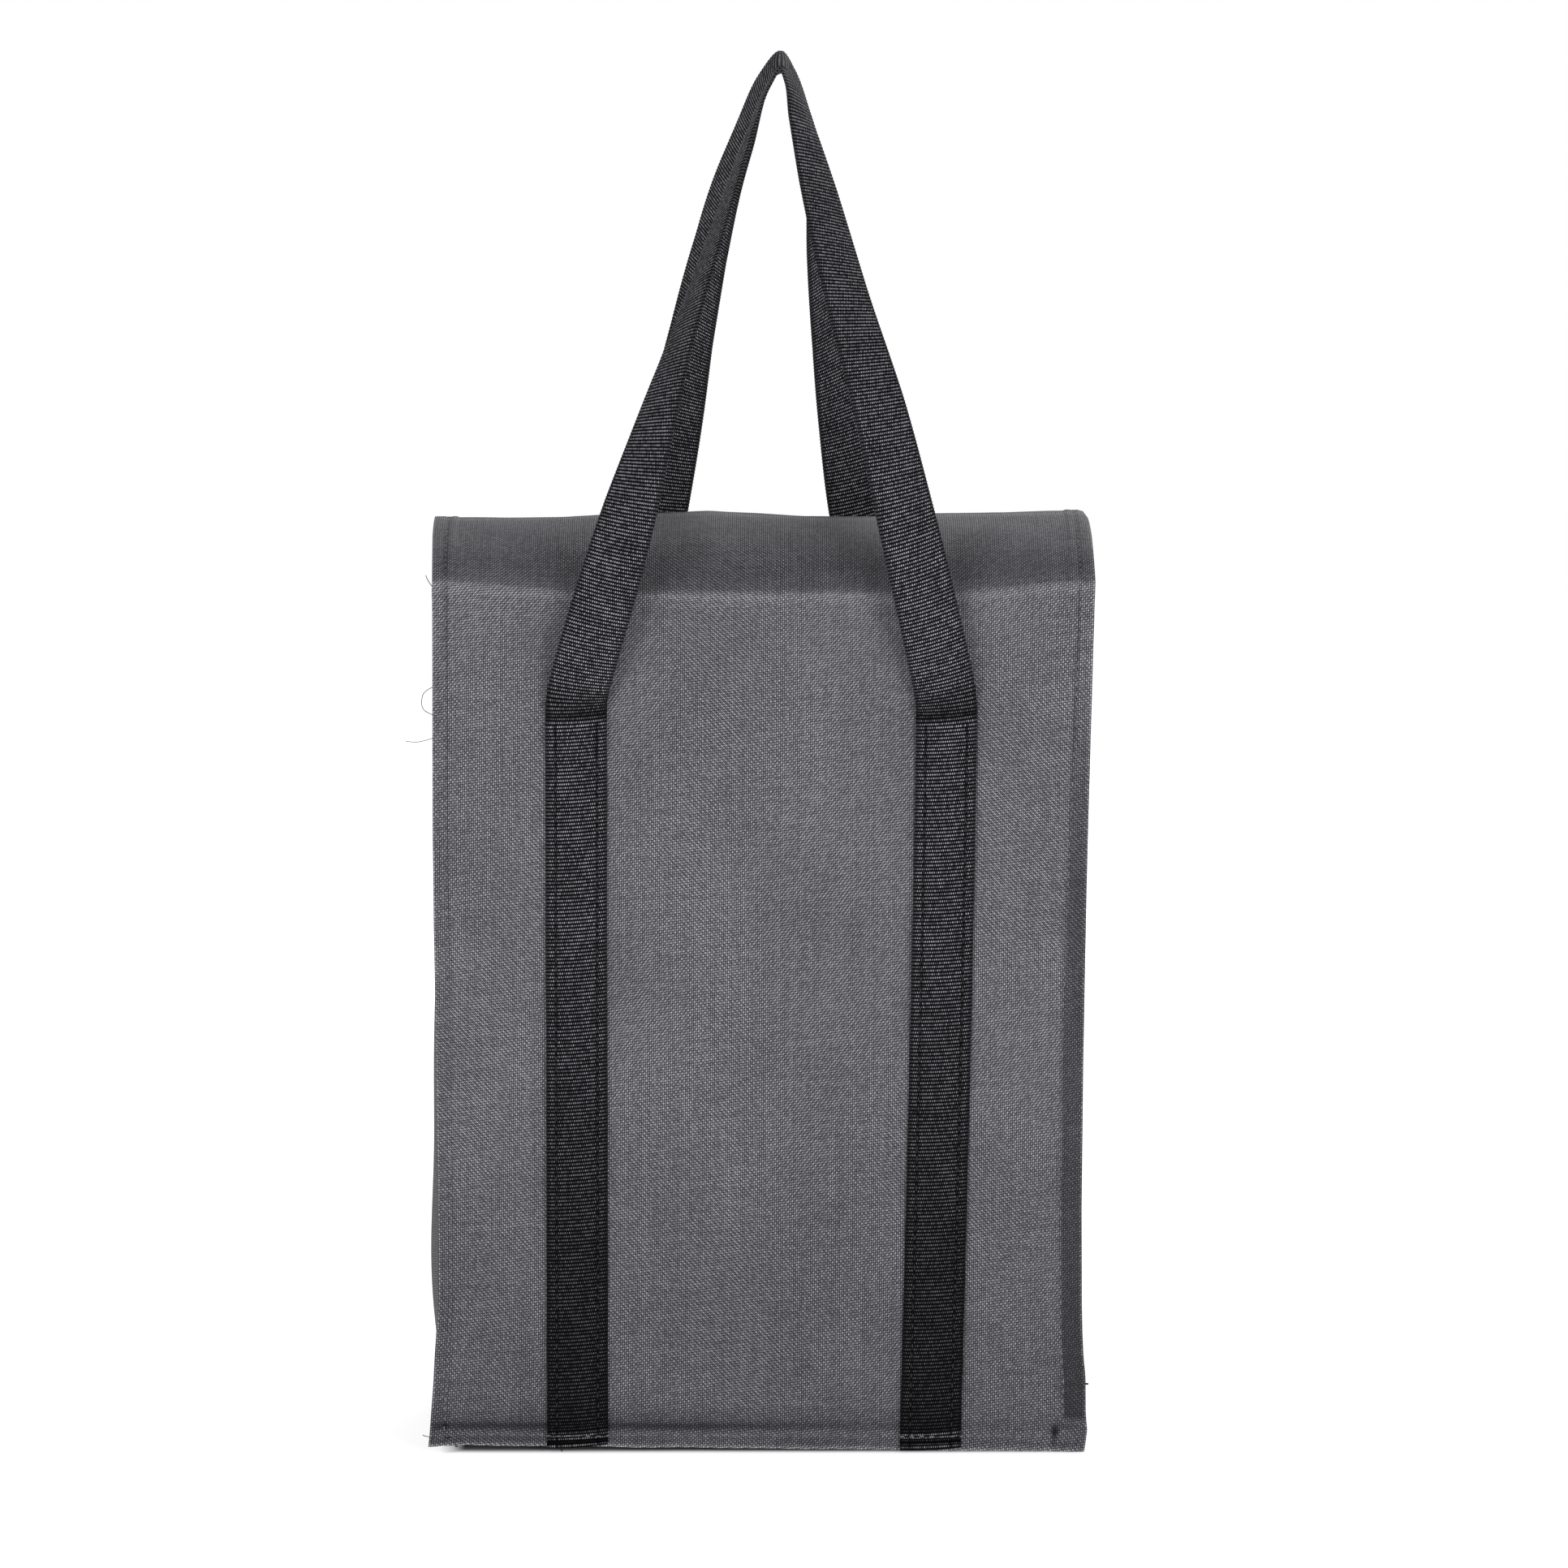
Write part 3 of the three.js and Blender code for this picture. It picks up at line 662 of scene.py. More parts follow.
def lidRelief(x, s):
    inside = smooth(0, 24 * mm, sideSeam - np.abs(x))
    ends = smooth(0, 30 * mm, s - foldHeight) * smooth(0, 24 * mm, frontFold - s)
    ripple = lid["ripple"] * waves(x, s, 21, 50 * mm, 150 * mm) * inside * ends
    ripple = ripple + 0.12 * mm * waves(x, s, 23, 16 * mm, 40 * mm) * inside * ends
    edge = halfWidth - np.abs(x)
    hemLine = lidLength - s
    lidPart = smooth(2 * mm, 12 * mm, s - foldHeight)
    hems = smooth(0.5 * mm, -0.5 * mm, np.minimum(edge, hemLine) - lid["hem"]) * lid["hemStep"]
    groove = ridge(edge - lid["hemStitch"] - 0.5 * mm, 0.9 * mm)
    groove = groove + ridge(hemLine - lid["flapStitch"], 0.9 * mm)
    return ripple + (hems - 0.35 * mm * groove) * lidPart


def lidLightShadeAndTone(x, s):
    # a painted highlight along the crease with painted shade in the hollow over it, a painted highlight just
    # under the crown with painted shade past it, painted shade along the side seams and the flap's stitch
    # line, and lighter cut edges
    past = np.abs(x) - sideSeam
    lidPart = smooth(1 * mm, 8 * mm, s - foldHeight)
    # painted highlight along the crease
    paintedLightAndTone = 0.30 * ridge(s - foldHeight + 1.5 * mm, 3.0 * mm)
    # painted shade in the hollow over the crease
    paintedLightAndTone = paintedLightAndTone - 0.25 * ridge(s - foldHeight - 14 * mm, 12 * mm)
    # painted highlight just under the crown, painted shade past it
    paintedLightAndTone = paintedLightAndTone + 0.5 * ridge(s - crownLine + 5 * mm, 3 * mm) - 0.25 * ridge(s - crownLine - 9 * mm, 9 * mm)
    # painted shade in the side seams and in the flap's stitch line
    paintedLightAndTone = paintedLightAndTone - 0.6 * ridge(past, 0.7 * mm) * lidPart
    paintedLightAndTone = paintedLightAndTone - 0.5 * ridge(lidLength - s - lid["flapStitch"], 0.8 * mm)
    sideEdge = ridge(halfWidth - np.abs(x), 0.8 * mm) * lidPart
    return paintedLightAndTone + 0.5 * sideEdge + 0.5 * ridge(lidLength - s, 0.9 * mm)


def lidDip(x, s):
    # the fold hangs a little between the corners, more towards the right
    hang = smooth(6 * mm, 70 * mm, halfWidth + x) * smooth(4 * mm, 60 * mm, halfWidth - x)
    return lid["dip"] * hang * ridge(s - foldHeight, lid["dipReach"])


def lidPlace(x, s):
    y = np.interp(s, lidStations, lidY)
    z = np.interp(s, lidStations, lidZ)
    normalY = np.interp(s, lidStations, lidNormalY)
    normalZ = np.interp(s, lidStations, lidNormalZ)
    onWall = smooth(foldHeight + 4 * mm, foldHeight - 4 * mm, s)
    relief = wallRelief(backWall, x, np.minimum(s, foldHeight)) * onWall + lidRelief(x, s)
    edges = wallX(backWall, x, np.minimum(s, foldHeight))
    lidEdge = np.where(x > 0, along(lid["rightEdge"], s - foldHeight), along(lid["leftEdge"], s - foldHeight))
    lidEdges = x + np.sign(x) * lidEdge * (np.abs(x) / halfWidth) ** 4
    placeX = np.where(s < foldHeight, edges, lidEdges)
    crown = along(lid["crown"], x) * ridge(s - crownLine - 12 * mm, lid["crownReach"])
    lift = wallLift(backWall, x, s) + crown
    crease = lid["creaseStep"] * ridge(s - foldHeight + 2 * mm, 5 * mm)
    crease = crease * smooth(4 * mm, 30 * mm, sideSeam - np.abs(x))
    return placeX, y + normalY * relief - crease, z + normalZ * relief - lidDip(x, s) + lift


def acrossPanel(columns):
    return spaced(2 * halfWidth, columns, [(0, 16 * mm), (2 * halfWidth, 16 * mm)]) - halfWidth


def makeBackAndLid(canvas):
    across = acrossPanel(lid["columns"])
    upward = spaced(lidLength, lid["rows"], [
        (0, 14 * mm), (foldHeight, 14 * mm), (frontFold, 9 * mm), (lidLength, 10 * mm)])
    piece, x, s = gridOf("back_and_lid_cloth", across, upward, lidPlace)
    onWall = s < foldHeight
    setAmount(piece, "paintedLightAndTone", np.where(onWall, wallShadeAndTone(backWall, x, s), 0) + lidLightShadeAndTone(x, s))
    thicken(piece, cloth)
    finishPiece(piece, canvas)
    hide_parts("back_panel", "lid_panel")
    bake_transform(piece)


# front panel

frontPanel = {"columns": 118, "rows": 150, "hem": 9 * mm, "hemStep": 0.3 * mm}


def frontPlace(x, z):
    # x runs the other way, so that the face looks out
    x = -x
    hemmed = smooth(0.5 * mm, -0.5 * mm, foldHeight - z - frontPanel["hem"]) * frontPanel["hemStep"]
    relief = wallRelief(frontWall, x, z) - hemmed * 0.5
    return wallX(frontWall, x, z), halfDepth + relief, z + wallLift(frontWall, x, z)


def makeFrontPanel(canvas):
    across = acrossPanel(frontPanel["columns"])
    upward = spaced(foldHeight, frontPanel["rows"], [(0, 14 * mm), (foldHeight, 10 * mm)])
    piece, x, z = gridOf("front_panel_cloth", across, upward, frontPlace)
    # painted shade as on the back wall, and a lighter top edge
    setAmount(piece, "paintedLightAndTone", wallShadeAndTone(frontWall, -x, z) + 0.4 * ridge(foldHeight - z, 1.0 * mm))
    thicken(piece, cloth)
    finishPiece(piece, canvas)
    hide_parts("front_panel")
    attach(piece, "bag")


# gussets: a side wall with a lip turned out at each edge, and a top that follows the lid

gusset = {
    "columns": 74,
    "rows": 150,
    "corner": 2.0 * mm,
    "leftBulge": 11.2 * mm,
    "rightBulge": 6.0 * mm,
    "ripple": 0.5 * mm,
    "crown": 1.0 * mm,           # under the lid
    "hemStitch": 5 * mm,         # stitch line under the top edge
    "hemReach": 63 * mm,
}


def gussetTop(y):
    middle = (flapFace - halfDepth) / 2
    halfChord = (flapFace + halfDepth) / 2
    crown = lidTop - foldHeight - gap
    radius = (halfChord ** 2 + crown ** 2) / (2 * crown)
    inner = radius - cloth - gusset["crown"]
    return lidTop - radius + np.sqrt(np.maximum(inner ** 2 - (y - middle) ** 2, 0))


def gussetPlaceFor(hand):
    # the lips' inner faces lie against the panels
    wallDepth = halfDepth - 2 * cloth - gap
    total = 2 * wallDepth + 2 * lipWidth

    def place(run, share):
        # run goes from one lip's edge, in along the lip, over the wall and out along the other lip
        run = run * hand
        side = np.sign(run)
        far = np.abs(run)
        onLip = smooth(wallDepth - gusset["corner"], wallDepth + gusset["corner"], far)
        y = np.where(far < wallDepth, run, side * wallDepth)
        past = np.clip(far - wallDepth, 0, None)
        top = gussetTop(y)
        z = share * top
        span = np.clip(np.abs(y) / wallDepth, 0, 1)
        t = np.clip(z / foldHeight, 0, 1)
        swell = gusset["leftBulge"] if hand < 0 else gusset["rightBulge"]
        bulge = swell * (1 - span ** 2.4) * np.sin(math.pi * t ** 0.55) * smooth(0, 12 * mm, z)
        ripple = gusset["ripple"] * waves(y, z, 31 + hand, 45 * mm, 130 * mm)
        ripple = ripple * (1 - span ** 4) * smooth(0, 30 * mm, z) * smooth(0, 30 * mm, top - z)
        back = y < 0
        seamBack = seamOf(backWall, hand > 0, z) - sideSeam
        corner = np.where(back, seamBack, 0) * smooth(0.5, 1.0, span)
        x = gussetFace + corner + bulge + ripple + past
        x = x - 0.5 * gusset["corner"] * (1 - onLip) * smooth(0.94, 1.0, span)
        # the lip's outer edge follows the edge of the panel in front of it
        stretch = np.clip(past / lipWidth, 0, 1)
        straight = halfWidth - 0.3 * mm
        edgeX = np.where(back, wallX(backWall, hand * straight + 0 * z, z) * hand, straight)
        x = np.where(past > 0, x + (edgeX - (gussetFace + corner + lipWidth)) * stretch, x)
        unmoved = hand * (x - (edgeX - straight) * np.clip(x / straight, 0, 1) ** 4)
        follow = np.where(back, flangeRelief(backWall, unmoved, z) + bottomRelief(backWall, unmoved, z),
                          flangeRelief(frontWall, unmoved, z) + bottomRelief(frontWall, unmoved, z))
        y = y + side * follow * smooth(0.9, 1.0, span)
        # the lip's lower edge is lifted with the edge of the panel
        lift = np.where(back, wallLift(backWall, unmoved, z), wallLift(frontWall, unmoved, z))
        return hand * x, y, z + 0.2 * mm * (1 - share) + lift * smooth(0.9, 1.0, span)

    return place, total


def makeGusset(name, hand, canvas):
    place, total = gussetPlaceFor(hand)
    run = spaced(total, gusset["columns"], [
        (lipWidth, 7 * mm), (total - lipWidth, 7 * mm)], 4) - total / 2
    share = spaced(1, gusset["rows"], [(0, 0.04), (1, 0.03)])
    piece, r, t = gridOf(name + "_cloth", run, share, place)
    setMap(piece, r, readPoints(piece.data)[:, 2])
    # painted shade over the whole gusset, with a lighter line along its top edge
    setAmount(piece, "paintedLightAndTone", 0.35 * ridge(1 - t, 0.003) - 0.4)
    thicken(piece, cloth)
    finishPiece(piece, canvas)
    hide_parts(name)
    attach(piece, "bag")


# floor and board

floorCloth = {"rim": 3.4 * mm, "turnDown": 3.0 * mm}
baseBoard = {"corner": 9 * mm, "edge": 0.5 * mm}


def boxAround(name, low, high):
    deselectAll()
    middle = (low + high) / 2
    bpy.ops.mesh.primitive_cube_add(size=1, location=middle, scale=tuple(high - low))
    piece = bpy.context.object
    piece.name = name
    bpy.ops.object.transform_apply()
    return piece


def selectEdges(piece, wanted):
    # wanted says yes or no for an edge, from its two ends
    bpy.ops.object.mode_set(mode="EDIT")
    bpy.ops.mesh.select_mode(type="EDGE")
    bpy.ops.mesh.select_all(action="DESELECT")
    bpy.ops.object.mode_set(mode="OBJECT")
    points = piece.data.vertices
    for edge in piece.data.edges:
        edge.select = wanted(points[edge.vertices[0]].co, points[edge.vertices[1]].co)
    bpy.ops.object.mode_set(mode="EDIT")


def roundEdges(piece, offset, segments, wanted):
    selectEdges(piece, wanted)
    bpy.ops.mesh.bevel(offset=offset, segments=segments, affect="EDGES")
    bpy.ops.object.mode_set(mode="OBJECT")


def boxMap(piece):
    # each face takes its map from the two directions that it lies along, in metres
    mesh = piece.data
    layer = mesh.uv_layers.active or mesh.uv_layers.new(name="UVMap")
    for face in mesh.polygons:
        away = max(range(3), key=lambda axis: abs(face.normal[axis]))
        first, second = [axis for axis in range(3) if axis != away]
        for corner in face.loop_indices:
            point = mesh.vertices[mesh.loops[corner].vertex_index].co
            layer.data[corner].uv = (point[first], point[second])


def makeFloorCloth(canvas):
    # its rim stays a little off the ground, so that it is dark under the lifted edges of the panels
    piece = boxAround("bottom_cloth", floorLow + Vector((0, 0, floorCloth["rim"])), floorHigh)
    bpy.ops.object.mode_set(mode="EDIT")
    bpy.ops.mesh.select_mode(type="FACE")
    bpy.ops.mesh.select_all(action="DESELECT")
    bpy.ops.object.mode_set(mode="OBJECT")
    for face in piece.data.polygons:
        face.select = face.normal.z < -0.5
    bpy.ops.object.mode_set(mode="EDIT")
    bpy.ops.mesh.delete(type="FACE")
    bpy.ops.object.mode_set(mode="OBJECT")
    roundEdges(piece, floorCloth["turnDown"], 4, lambda a, b: max(a.z, b.z) > floorCloth["rim"] + 0.6 * mm)
    bpy.ops.object.mode_set(mode="EDIT")
    bpy.ops.mesh.select_all(action="SELECT")
    bpy.ops.mesh.normals_make_consistent(inside=False)
    bpy.ops.object.mode_set(mode="OBJECT")
    boxMap(piece)
    setAmount(piece, "paintedLightAndTone", 0)
    thicken(piece, cloth)
    finishPiece(piece, canvas)
    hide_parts("bottom_panel")
    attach(piece, "bag")


def makeBoard(material):
    # first the upright corners, then the rims of both faces
    board = boxAround("stiff_base_board", boardLow, boardHigh)
    roundEdges(board, baseBoard["corner"], 6, lambda a, b: abs(a.z - b.z) > 1 * mm)
    roundEdges(board, baseBoard["edge"], 2, lambda a, b: abs(a.z - b.z) < 0.01 * mm)
    bpy.ops.object.shade_smooth_by_angle(angle=math.radians(40))
    finishPiece(board, material)
    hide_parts("base_board")
    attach(board, "bag")


# webbing: each side is one length, up one strap, round the loop and down the other

webbing = {
    "rowsPerRib": 4,
    "ribHeight": 0.2 * mm,
    "rowSlope": 0.04,            # the ribs climb a little to the right on the sewn part
    "rowBow": 0.5 * mm,
    "scallop": 0.2 * mm,
    "slack": 16 * mm,            # below the tack the webbing starts to leave the cloth
    "loopShift": 8 * mm,
    "loopClearance": 0.6 * mm,
    "lidSwingClearance": 7 * mm,
    # share of the half width where the section has points; the close ones are the stitch columns
    "section": [-1, -0.9, -0.76, -0.67, -0.58, -0.2, 0.2, 0.58, 0.67, 0.76, 0.9, 1],
    # brightness of the ribs by height: the pressed foot, the sewn part, the tack and the slack over it
    "footGlow": [(0, 0.6), (1.1, 0.6), (1.3, 0.8), (3.0, 0.8), (3.1, 0.05), (4.4, 0.05), (4.6, 0.7),
                 (7.4, 0.7), (7.6, 0.12), (10, 0.14), (24, 0.23), (70, 0.3), (130, 0.5), (220, 0.9),
                 (400, 1.0)],
    # painted highlight on the free loop's ribs
    "freeArmHighlight": 1.15,
    "tackBright": 1.7,
    "slackShade": 0.72,
    "shadeOverTack": 0.55,       # a softer shade, this far over the tack and this deep
    "shadeHeight": 9 * mm,
    "shadeReach": 6 * mm,
    "pinch": 0.9 * mm,           # the webbing dips towards the panel just over the tack
    "camber": 0.7 * mm,          # the free webbing curls a little across its width
}
backWebbing = {
    "name": "back_webbing", "wall": backWall, "handle": "handle_back",
    "spacing": 152 * mm, "rise": 266.5 * mm, "topTilt": -5,
    "leftLean": 0 * mm, "rightLean": -6.4 * mm,      # how far a strap's foot lies from straight
    "leftArm": [(0, 0, 0), (.04, .006, 0), (.12, .07, 5), (.24, .18, 16), (.34, .27, 28), (.44, .36, 45),
                (.56, .475, 62), (.66, .58, 71), (.8, .73, 78), (.91, .85, 84), (.97, .93, 88)],
    "rightArm": [(0, 0, 0), (.04, .006, 0), (.14, .085, 7), (.32, .245, 18), (.49, .405, 29), (.66, .6, 43),
                 (.82, .765, 55), (.92, .865, 68), (.975, .925, 80)],
}
frontWebbing = {
    "name": "front_webbing", "wall": frontWall, "handle": "handle_front",
    "spacing": 112 * mm, "rise": 270.5 * mm, "topTilt": 14,
    "leftLean": 0 * mm, "rightLean": 0 * mm,
    "leftArm": [(0, 0, 0), (.04, .006, 0), (.14, .075, 0), (.28, .18, 8), (.42, .29, 26), (.56, .4, 45),
                (.7, .53, 58), (.8, .64, 65), (.88, .755, 72), (.96, .875, 82)],
    "rightArm": [(0, 0, 0), (.04, .01, 0), (.14, .15, 0), (.28, .31, 8), (.42, .42, 26), (.56, .52, 43),
                 (.7, .61, 56), (.8, .67, 68), (.9, .78, 80), (.97, .89, 87)],
}


def splineThrough(points, steps, power=0.5):
    # centripetal spline through the points; also says which stretch each step is in
    points = np.asarray(points, dtype=float)
    ends = np.vstack((2 * points[0] - points[1], points, 2 * points[-1] - points[-2]))
    found, where = [], []
    for i in range(len(points) - 1):
        p = ends[i:i + 4]
        gaps = np.maximum(np.linalg.norm(np.diff(p, axis=0), axis=1), 1e-9) ** power
        tangentIn = (p[1] - p[0]) / gaps[0] - (p[2] - p[0]) / (gaps[0] + gaps[1]) + (p[2] - p[1]) / gaps[1]
        tangentOut = (p[2] - p[1]) / gaps[1] - (p[3] - p[1]) / (gaps[1] + gaps[2]) + (p[3] - p[2]) / gaps[2]
        tangentIn, tangentOut = tangentIn * gaps[1], tangentOut * gaps[1]
        t = np.linspace(0, 1, steps, endpoint=i == len(points) - 2)[:, None]
        found.append((2 * t ** 3 - 3 * t ** 2 + 1) * p[1] + (t ** 3 - 2 * t ** 2 + t) * tangentIn
                     + (3 * t ** 2 - 2 * t ** 3) * p[2] + (t ** 3 - t ** 2) * tangentOut)
        where.append(i + t[:, 0])
    return np.vstack(found), np.concatenate(where)


def standOffLine(rise):
    # how far an arm stands off the middle plane at each height above the fold
    tackDrop = foldHeight - tackHeight
    hemSwing = math.hypot(halfDepth + flapFace + 0.5 * mm, foldHeight - flapHem)
    bow = hemSwing - halfDepth + webbing["lidSwingClearance"]
    spread = webbingWidth / 2 + webbing["loopClearance"]
    pivot = halfDepth + 2 * gap + 1.5 * webbingThick
    top = rise - tackDrop
    shoulder = 0.71 * hemSwing

    def inward(share):
        return spread + (bow - spread) * share

    line, _ = splineThrough([
        (-tackDrop, pivot), (-0.9 * tackDrop, pivot + 0.6 * mm), (-0.5 * tackDrop, inward(0.93)),
        (0.04 * hemSwing, inward(1)), (0.2 * hemSwing, inward(0.995)), (0.4 * hemSwing, inward(0.905)),
        (shoulder, inward(0.65)), ((shoulder + top) / 2, inward(0.27)), (top, spread)], 60, 0)
    return line, spread


def strapX(band, hand, z):
    lean = band["leftLean"] if hand < 0 else band["rightLean"]
    return hand * band["spacing"] / 2 + lean * (1 - np.clip(z / tackHeight, 0, 1)) ** 1.2


def strapFace(band, hand, z):
    # distance from the middle plane to the middle of the sewn webbing
    wall = band["wall"]
    x = strapX(band, hand, z)
    relief = np.maximum(wallRelief(wall, x - 9 * mm, z), wallRelief(wall, x + 9 * mm, z))
    relief = np.maximum(relief, wallRelief(wall, x, z))
    onSeam = 0.5 * mm * ridge(z - bottomSeam - 2 * mm, 5 * mm)
    return halfDepth + gap + webbingThick / 2 + relief + onSeam


def sewnStrap(band, hand, steps=420):
    z = np.linspace(0.3 * mm, tackHeight - 0.5 * mm, steps)
    side = band["wall"]["side"]
    pivot = halfDepth + 2 * gap + 1.5 * webbingThick
    leave = smooth(tackHeight - webbing["slack"], tackHeight, z)
    y = strapFace(band, hand, z)
    y = np.maximum(y, y + (pivot - y) * leave)
    x = strapX(band, hand, z)
    # the foot is lifted off the ground with the edge of the panel, but hangs a little lower
    return np.column_stack((x, side * y, z + 0.75 * wallLift(band["wall"], x, z)))


def loopRoute(band):
    # the free loop, from the left tack over the top to the right tack, with the webbing's turn
    side = band["wall"]["side"]
    line, spread = standOffLine(band["rise"])
    tackDrop = foldHeight - tackHeight

    def place(hand, row):
        rise, reach, _ = row
        x = hand * band["spacing"] / 2
        height = rise * band["rise"]
        y = side * np.interp(height - tackDrop, line[:, 0], line[:, 1])
        return (x + (webbing["loopShift"] - x) * reach, y, tackHeight + height + gap)

    top = (webbing["loopShift"], side * spread, tackHeight + band["rise"] + gap)
    stops = [place(-1, row) for row in band["leftArm"]] + [top]
    stops += [place(1, row) for row in reversed(band["rightArm"])]
    turns = [row[2] for row in band["leftArm"]] + [90] + [row[2] for row in reversed(band["rightArm"])]
    hands = [-1] * len(band["leftArm"]) + [0] + [1] * len(band["rightArm"])
    points, where = splineThrough(stops, 60)
    turn = np.radians(np.array(turns))
    tilt = math.radians(band["topTilt"])
    level, upright = np.cos(turn) * hands, np.sin(turn)
    edges = np.column_stack((level, upright * math.cos(tilt), upright * math.sin(tilt)))
    stopNumbers = np.arange(len(stops))
    edges = np.column_stack([np.interp(where, stopNumbers, edges[:, axis]) for axis in range(3)])
    return points, edges


def webbingRoute(band):
    loop, loopEdges = loopRoute(band)
    left, right = sewnStrap(band, -1), sewnStrap(band, 1)[::-1]
    points = np.vstack((left, loop[1:-1], right))
    flatLeft = np.tile((-1.0, 0, 0), (len(left), 1))
    flatRight = np.tile((1.0, 0, 0), (len(right), 1))
    edges = np.vstack((flatLeft, loopEdges[1:-1], flatRight))
    run = np.concatenate(([0], np.cumsum(np.linalg.norm(np.diff(points, axis=0), axis=1))))
    step = webbingLook["ribPitch"] / webbing["rowsPerRib"]
    rows = np.arange(0, run[-1], step)
    centre = np.column_stack([np.interp(rows, run, points[:, axis]) for axis in range(3)])
    edge = np.column_stack([np.interp(rows, run, edges[:, axis]) for axis in range(3)])
    # soften the joins between straight stretches
    kernel = ridge(np.arange(-6, 7), 3.5)
    kernel /= kernel.sum()
    for values in (centre, edge):
        for axis in range(3):
            values[6:-6, axis] = np.convolve(values[:, axis], kernel, "valid")
    direction = np.gradient(centre, axis=0)
    direction /= np.linalg.norm(direction, axis=1)[:, None]
    edge -= direction * (edge * direction).sum(1)[:, None]
    edge /= np.linalg.norm(edge, axis=1)[:, None]
    face = np.cross(direction, edge)
    return rows, centre, direction, edge, face


def webbingLightAndShade(centre):
    # the height above the ground stands for the place along the sewn part
    places, amounts = zip(*webbing["footGlow"])
    height = centre[:, 2] - tackHeight
    # painted highlight on the free arms; below the tack, the ribs' brightness by height
    glow = np.where(height > 0, webbing["freeArmHighlight"], np.interp(centre[:, 2] / mm, places, amounts))
    # painted shade over the tack, where the webbing leaves the panel
    shade = webbing["shadeOverTack"] * ridge(height - webbing["shadeHeight"], webbing["shadeReach"])
    glow = glow * (1 - shade)
    glow = glow * (1 - webbing["slackShade"] * ridge(height - 3.0 * mm, 2.6 * mm))
    return glow * (1 + (webbing["tackBright"] - 1) * ridge(height + 0.6 * mm, 0.8 * mm))


def makeWebbing(band, material, nodes):
    rows, centre, direction, edge, face = webbingRoute(band)
    sewn = smooth(tackHeight + 0.5 * mm, tackHeight - 0.5 * mm, centre[:, 2])
    glow = webbingLightAndShade(centre)
    side = band["wall"]["side"]
    pinch = webbing["pinch"] * ridge(centre[:, 2] - tackHeight - 2.6 * mm, 2.6 * mm)
    centre = centre + face * (side * pinch)[:, None]
    shares = np.array(webbing["section"], dtype=float)
    half = webbingWidth / 2
    # once round the section: along the outer face, over the edge and back along the inner one
    wide = np.concatenate((shares, shares[::-1], shares[:1]))
    outward = np.concatenate((np.ones(len(shares)), -np.ones(len(shares)), [1]))
    stopNumbers = np.arange(len(wide), dtype=float)

    def place(column, row):
        spot = np.rint(column).astype(int)
        line = np.rint(row / rows[1]).astype(int)
        share, out = wide[spot], outward[spot]
        crest = np.sin(math.pi * line / webbing["rowsPerRib"]) ** 2
        w = share * (half - webbing["scallop"] * (1 - crest))
        thin = 1 - 0.45 * smooth(0.86, 1.0, np.abs(share))
        sunk = 0.22 * mm * ridge(np.abs(share) - 0.67, 0.05) * sewn[line]
        curl = webbing["camber"] * share ** 2 * (1 - sewn[line])
        deep = (webbingThick / 2 - webbing["ribHeight"] * (1 - crest)) * thin - sunk
        slope = direction[line, 2] * edge[line, 0] * w * webbing["rowSlope"]
        bow = webbing["rowBow"] * direction[line, 2] * (edge[line, 0] * w / half + 0.5) ** 2
        point = centre[line] + edge[line] * w[:, None] + face[line] * (out * deep - curl)[:, None]
        point = point + direction[line] * (slope + bow)[:, None]
        return point[:, 0], point[:, 1], np.maximum(point[:, 2], 0.15 * mm)

    piece, column, row = gridOf(band["name"], stopNumbers, rows, place)
    line = np.rint(row / rows[1]).astype(int)
    setAmount(piece, "sewn", sewn[line])
    setAmount(piece, "glow", glow[line])
    setMap(piece, wide[np.rint(column).astype(int)] * half, row)
    bpy.ops.object.mode_set(mode="EDIT")
    bpy.ops.mesh.select_all(action="SELECT")
    bpy.ops.mesh.remove_doubles(threshold=0.00001)
    bpy.ops.mesh.fill_holes(sides=0)
    bpy.ops.mesh.normals_make_consistent(inside=False)
    bpy.ops.object.mode_set(mode="OBJECT")
    bpy.ops.object.shade_smooth_by_angle(angle=math.radians(60))
    finishPiece(piece, material)
    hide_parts(*nodes)
    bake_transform(piece)


# thread: one stitch is modelled, and every row is copies of it

thread = {
    "pitch": 4.1 * mm,
    "stitchLength": 2.1 * mm,
    "wide": 0.5 * mm,
    "thick": 0.42 * mm,
    "dive": 0.275,               # how far a stitch's ends sink, as a share of its thickness
    "tackPitch": 1.25 * mm,
    "tackLength": 2.6 * mm,
    "tackZigzag": 12,            # degrees
    "lift": 0.12 * mm,           # middle of a stitch over the cloth
    "endInset": 2.5 * mm,        # the side seams stop this short of the ground and of the fold
}


def makeStitch():
    deselectAll()
    bpy.ops.mesh.primitive_uv_sphere_add(segments=6, ring_count=6, radius=0.5, rotation=(0, math.pi / 2, 0))
    stitch = bpy.context.object
    stitch.name = "one_stitch"
    bpy.ops.object.transform_apply()
    # fuller in the middle, with ends that dive into the cloth
    points = readPoints(stitch.data)
    girth = np.hypot(points[:, 1], points[:, 2])
    full = np.where(girth > 0.05, np.clip(girth, 0.36, None) / np.maximum(girth, 1e-6), 1)
    points[:, 1:] *= full[:, None]
    points[:, 2] -= thread["dive"] * (2 * points[:, 0]) ** 4
    writePoints(stitch.data, points)
    bpy.ops.object.shade_smooth()
    return stitch


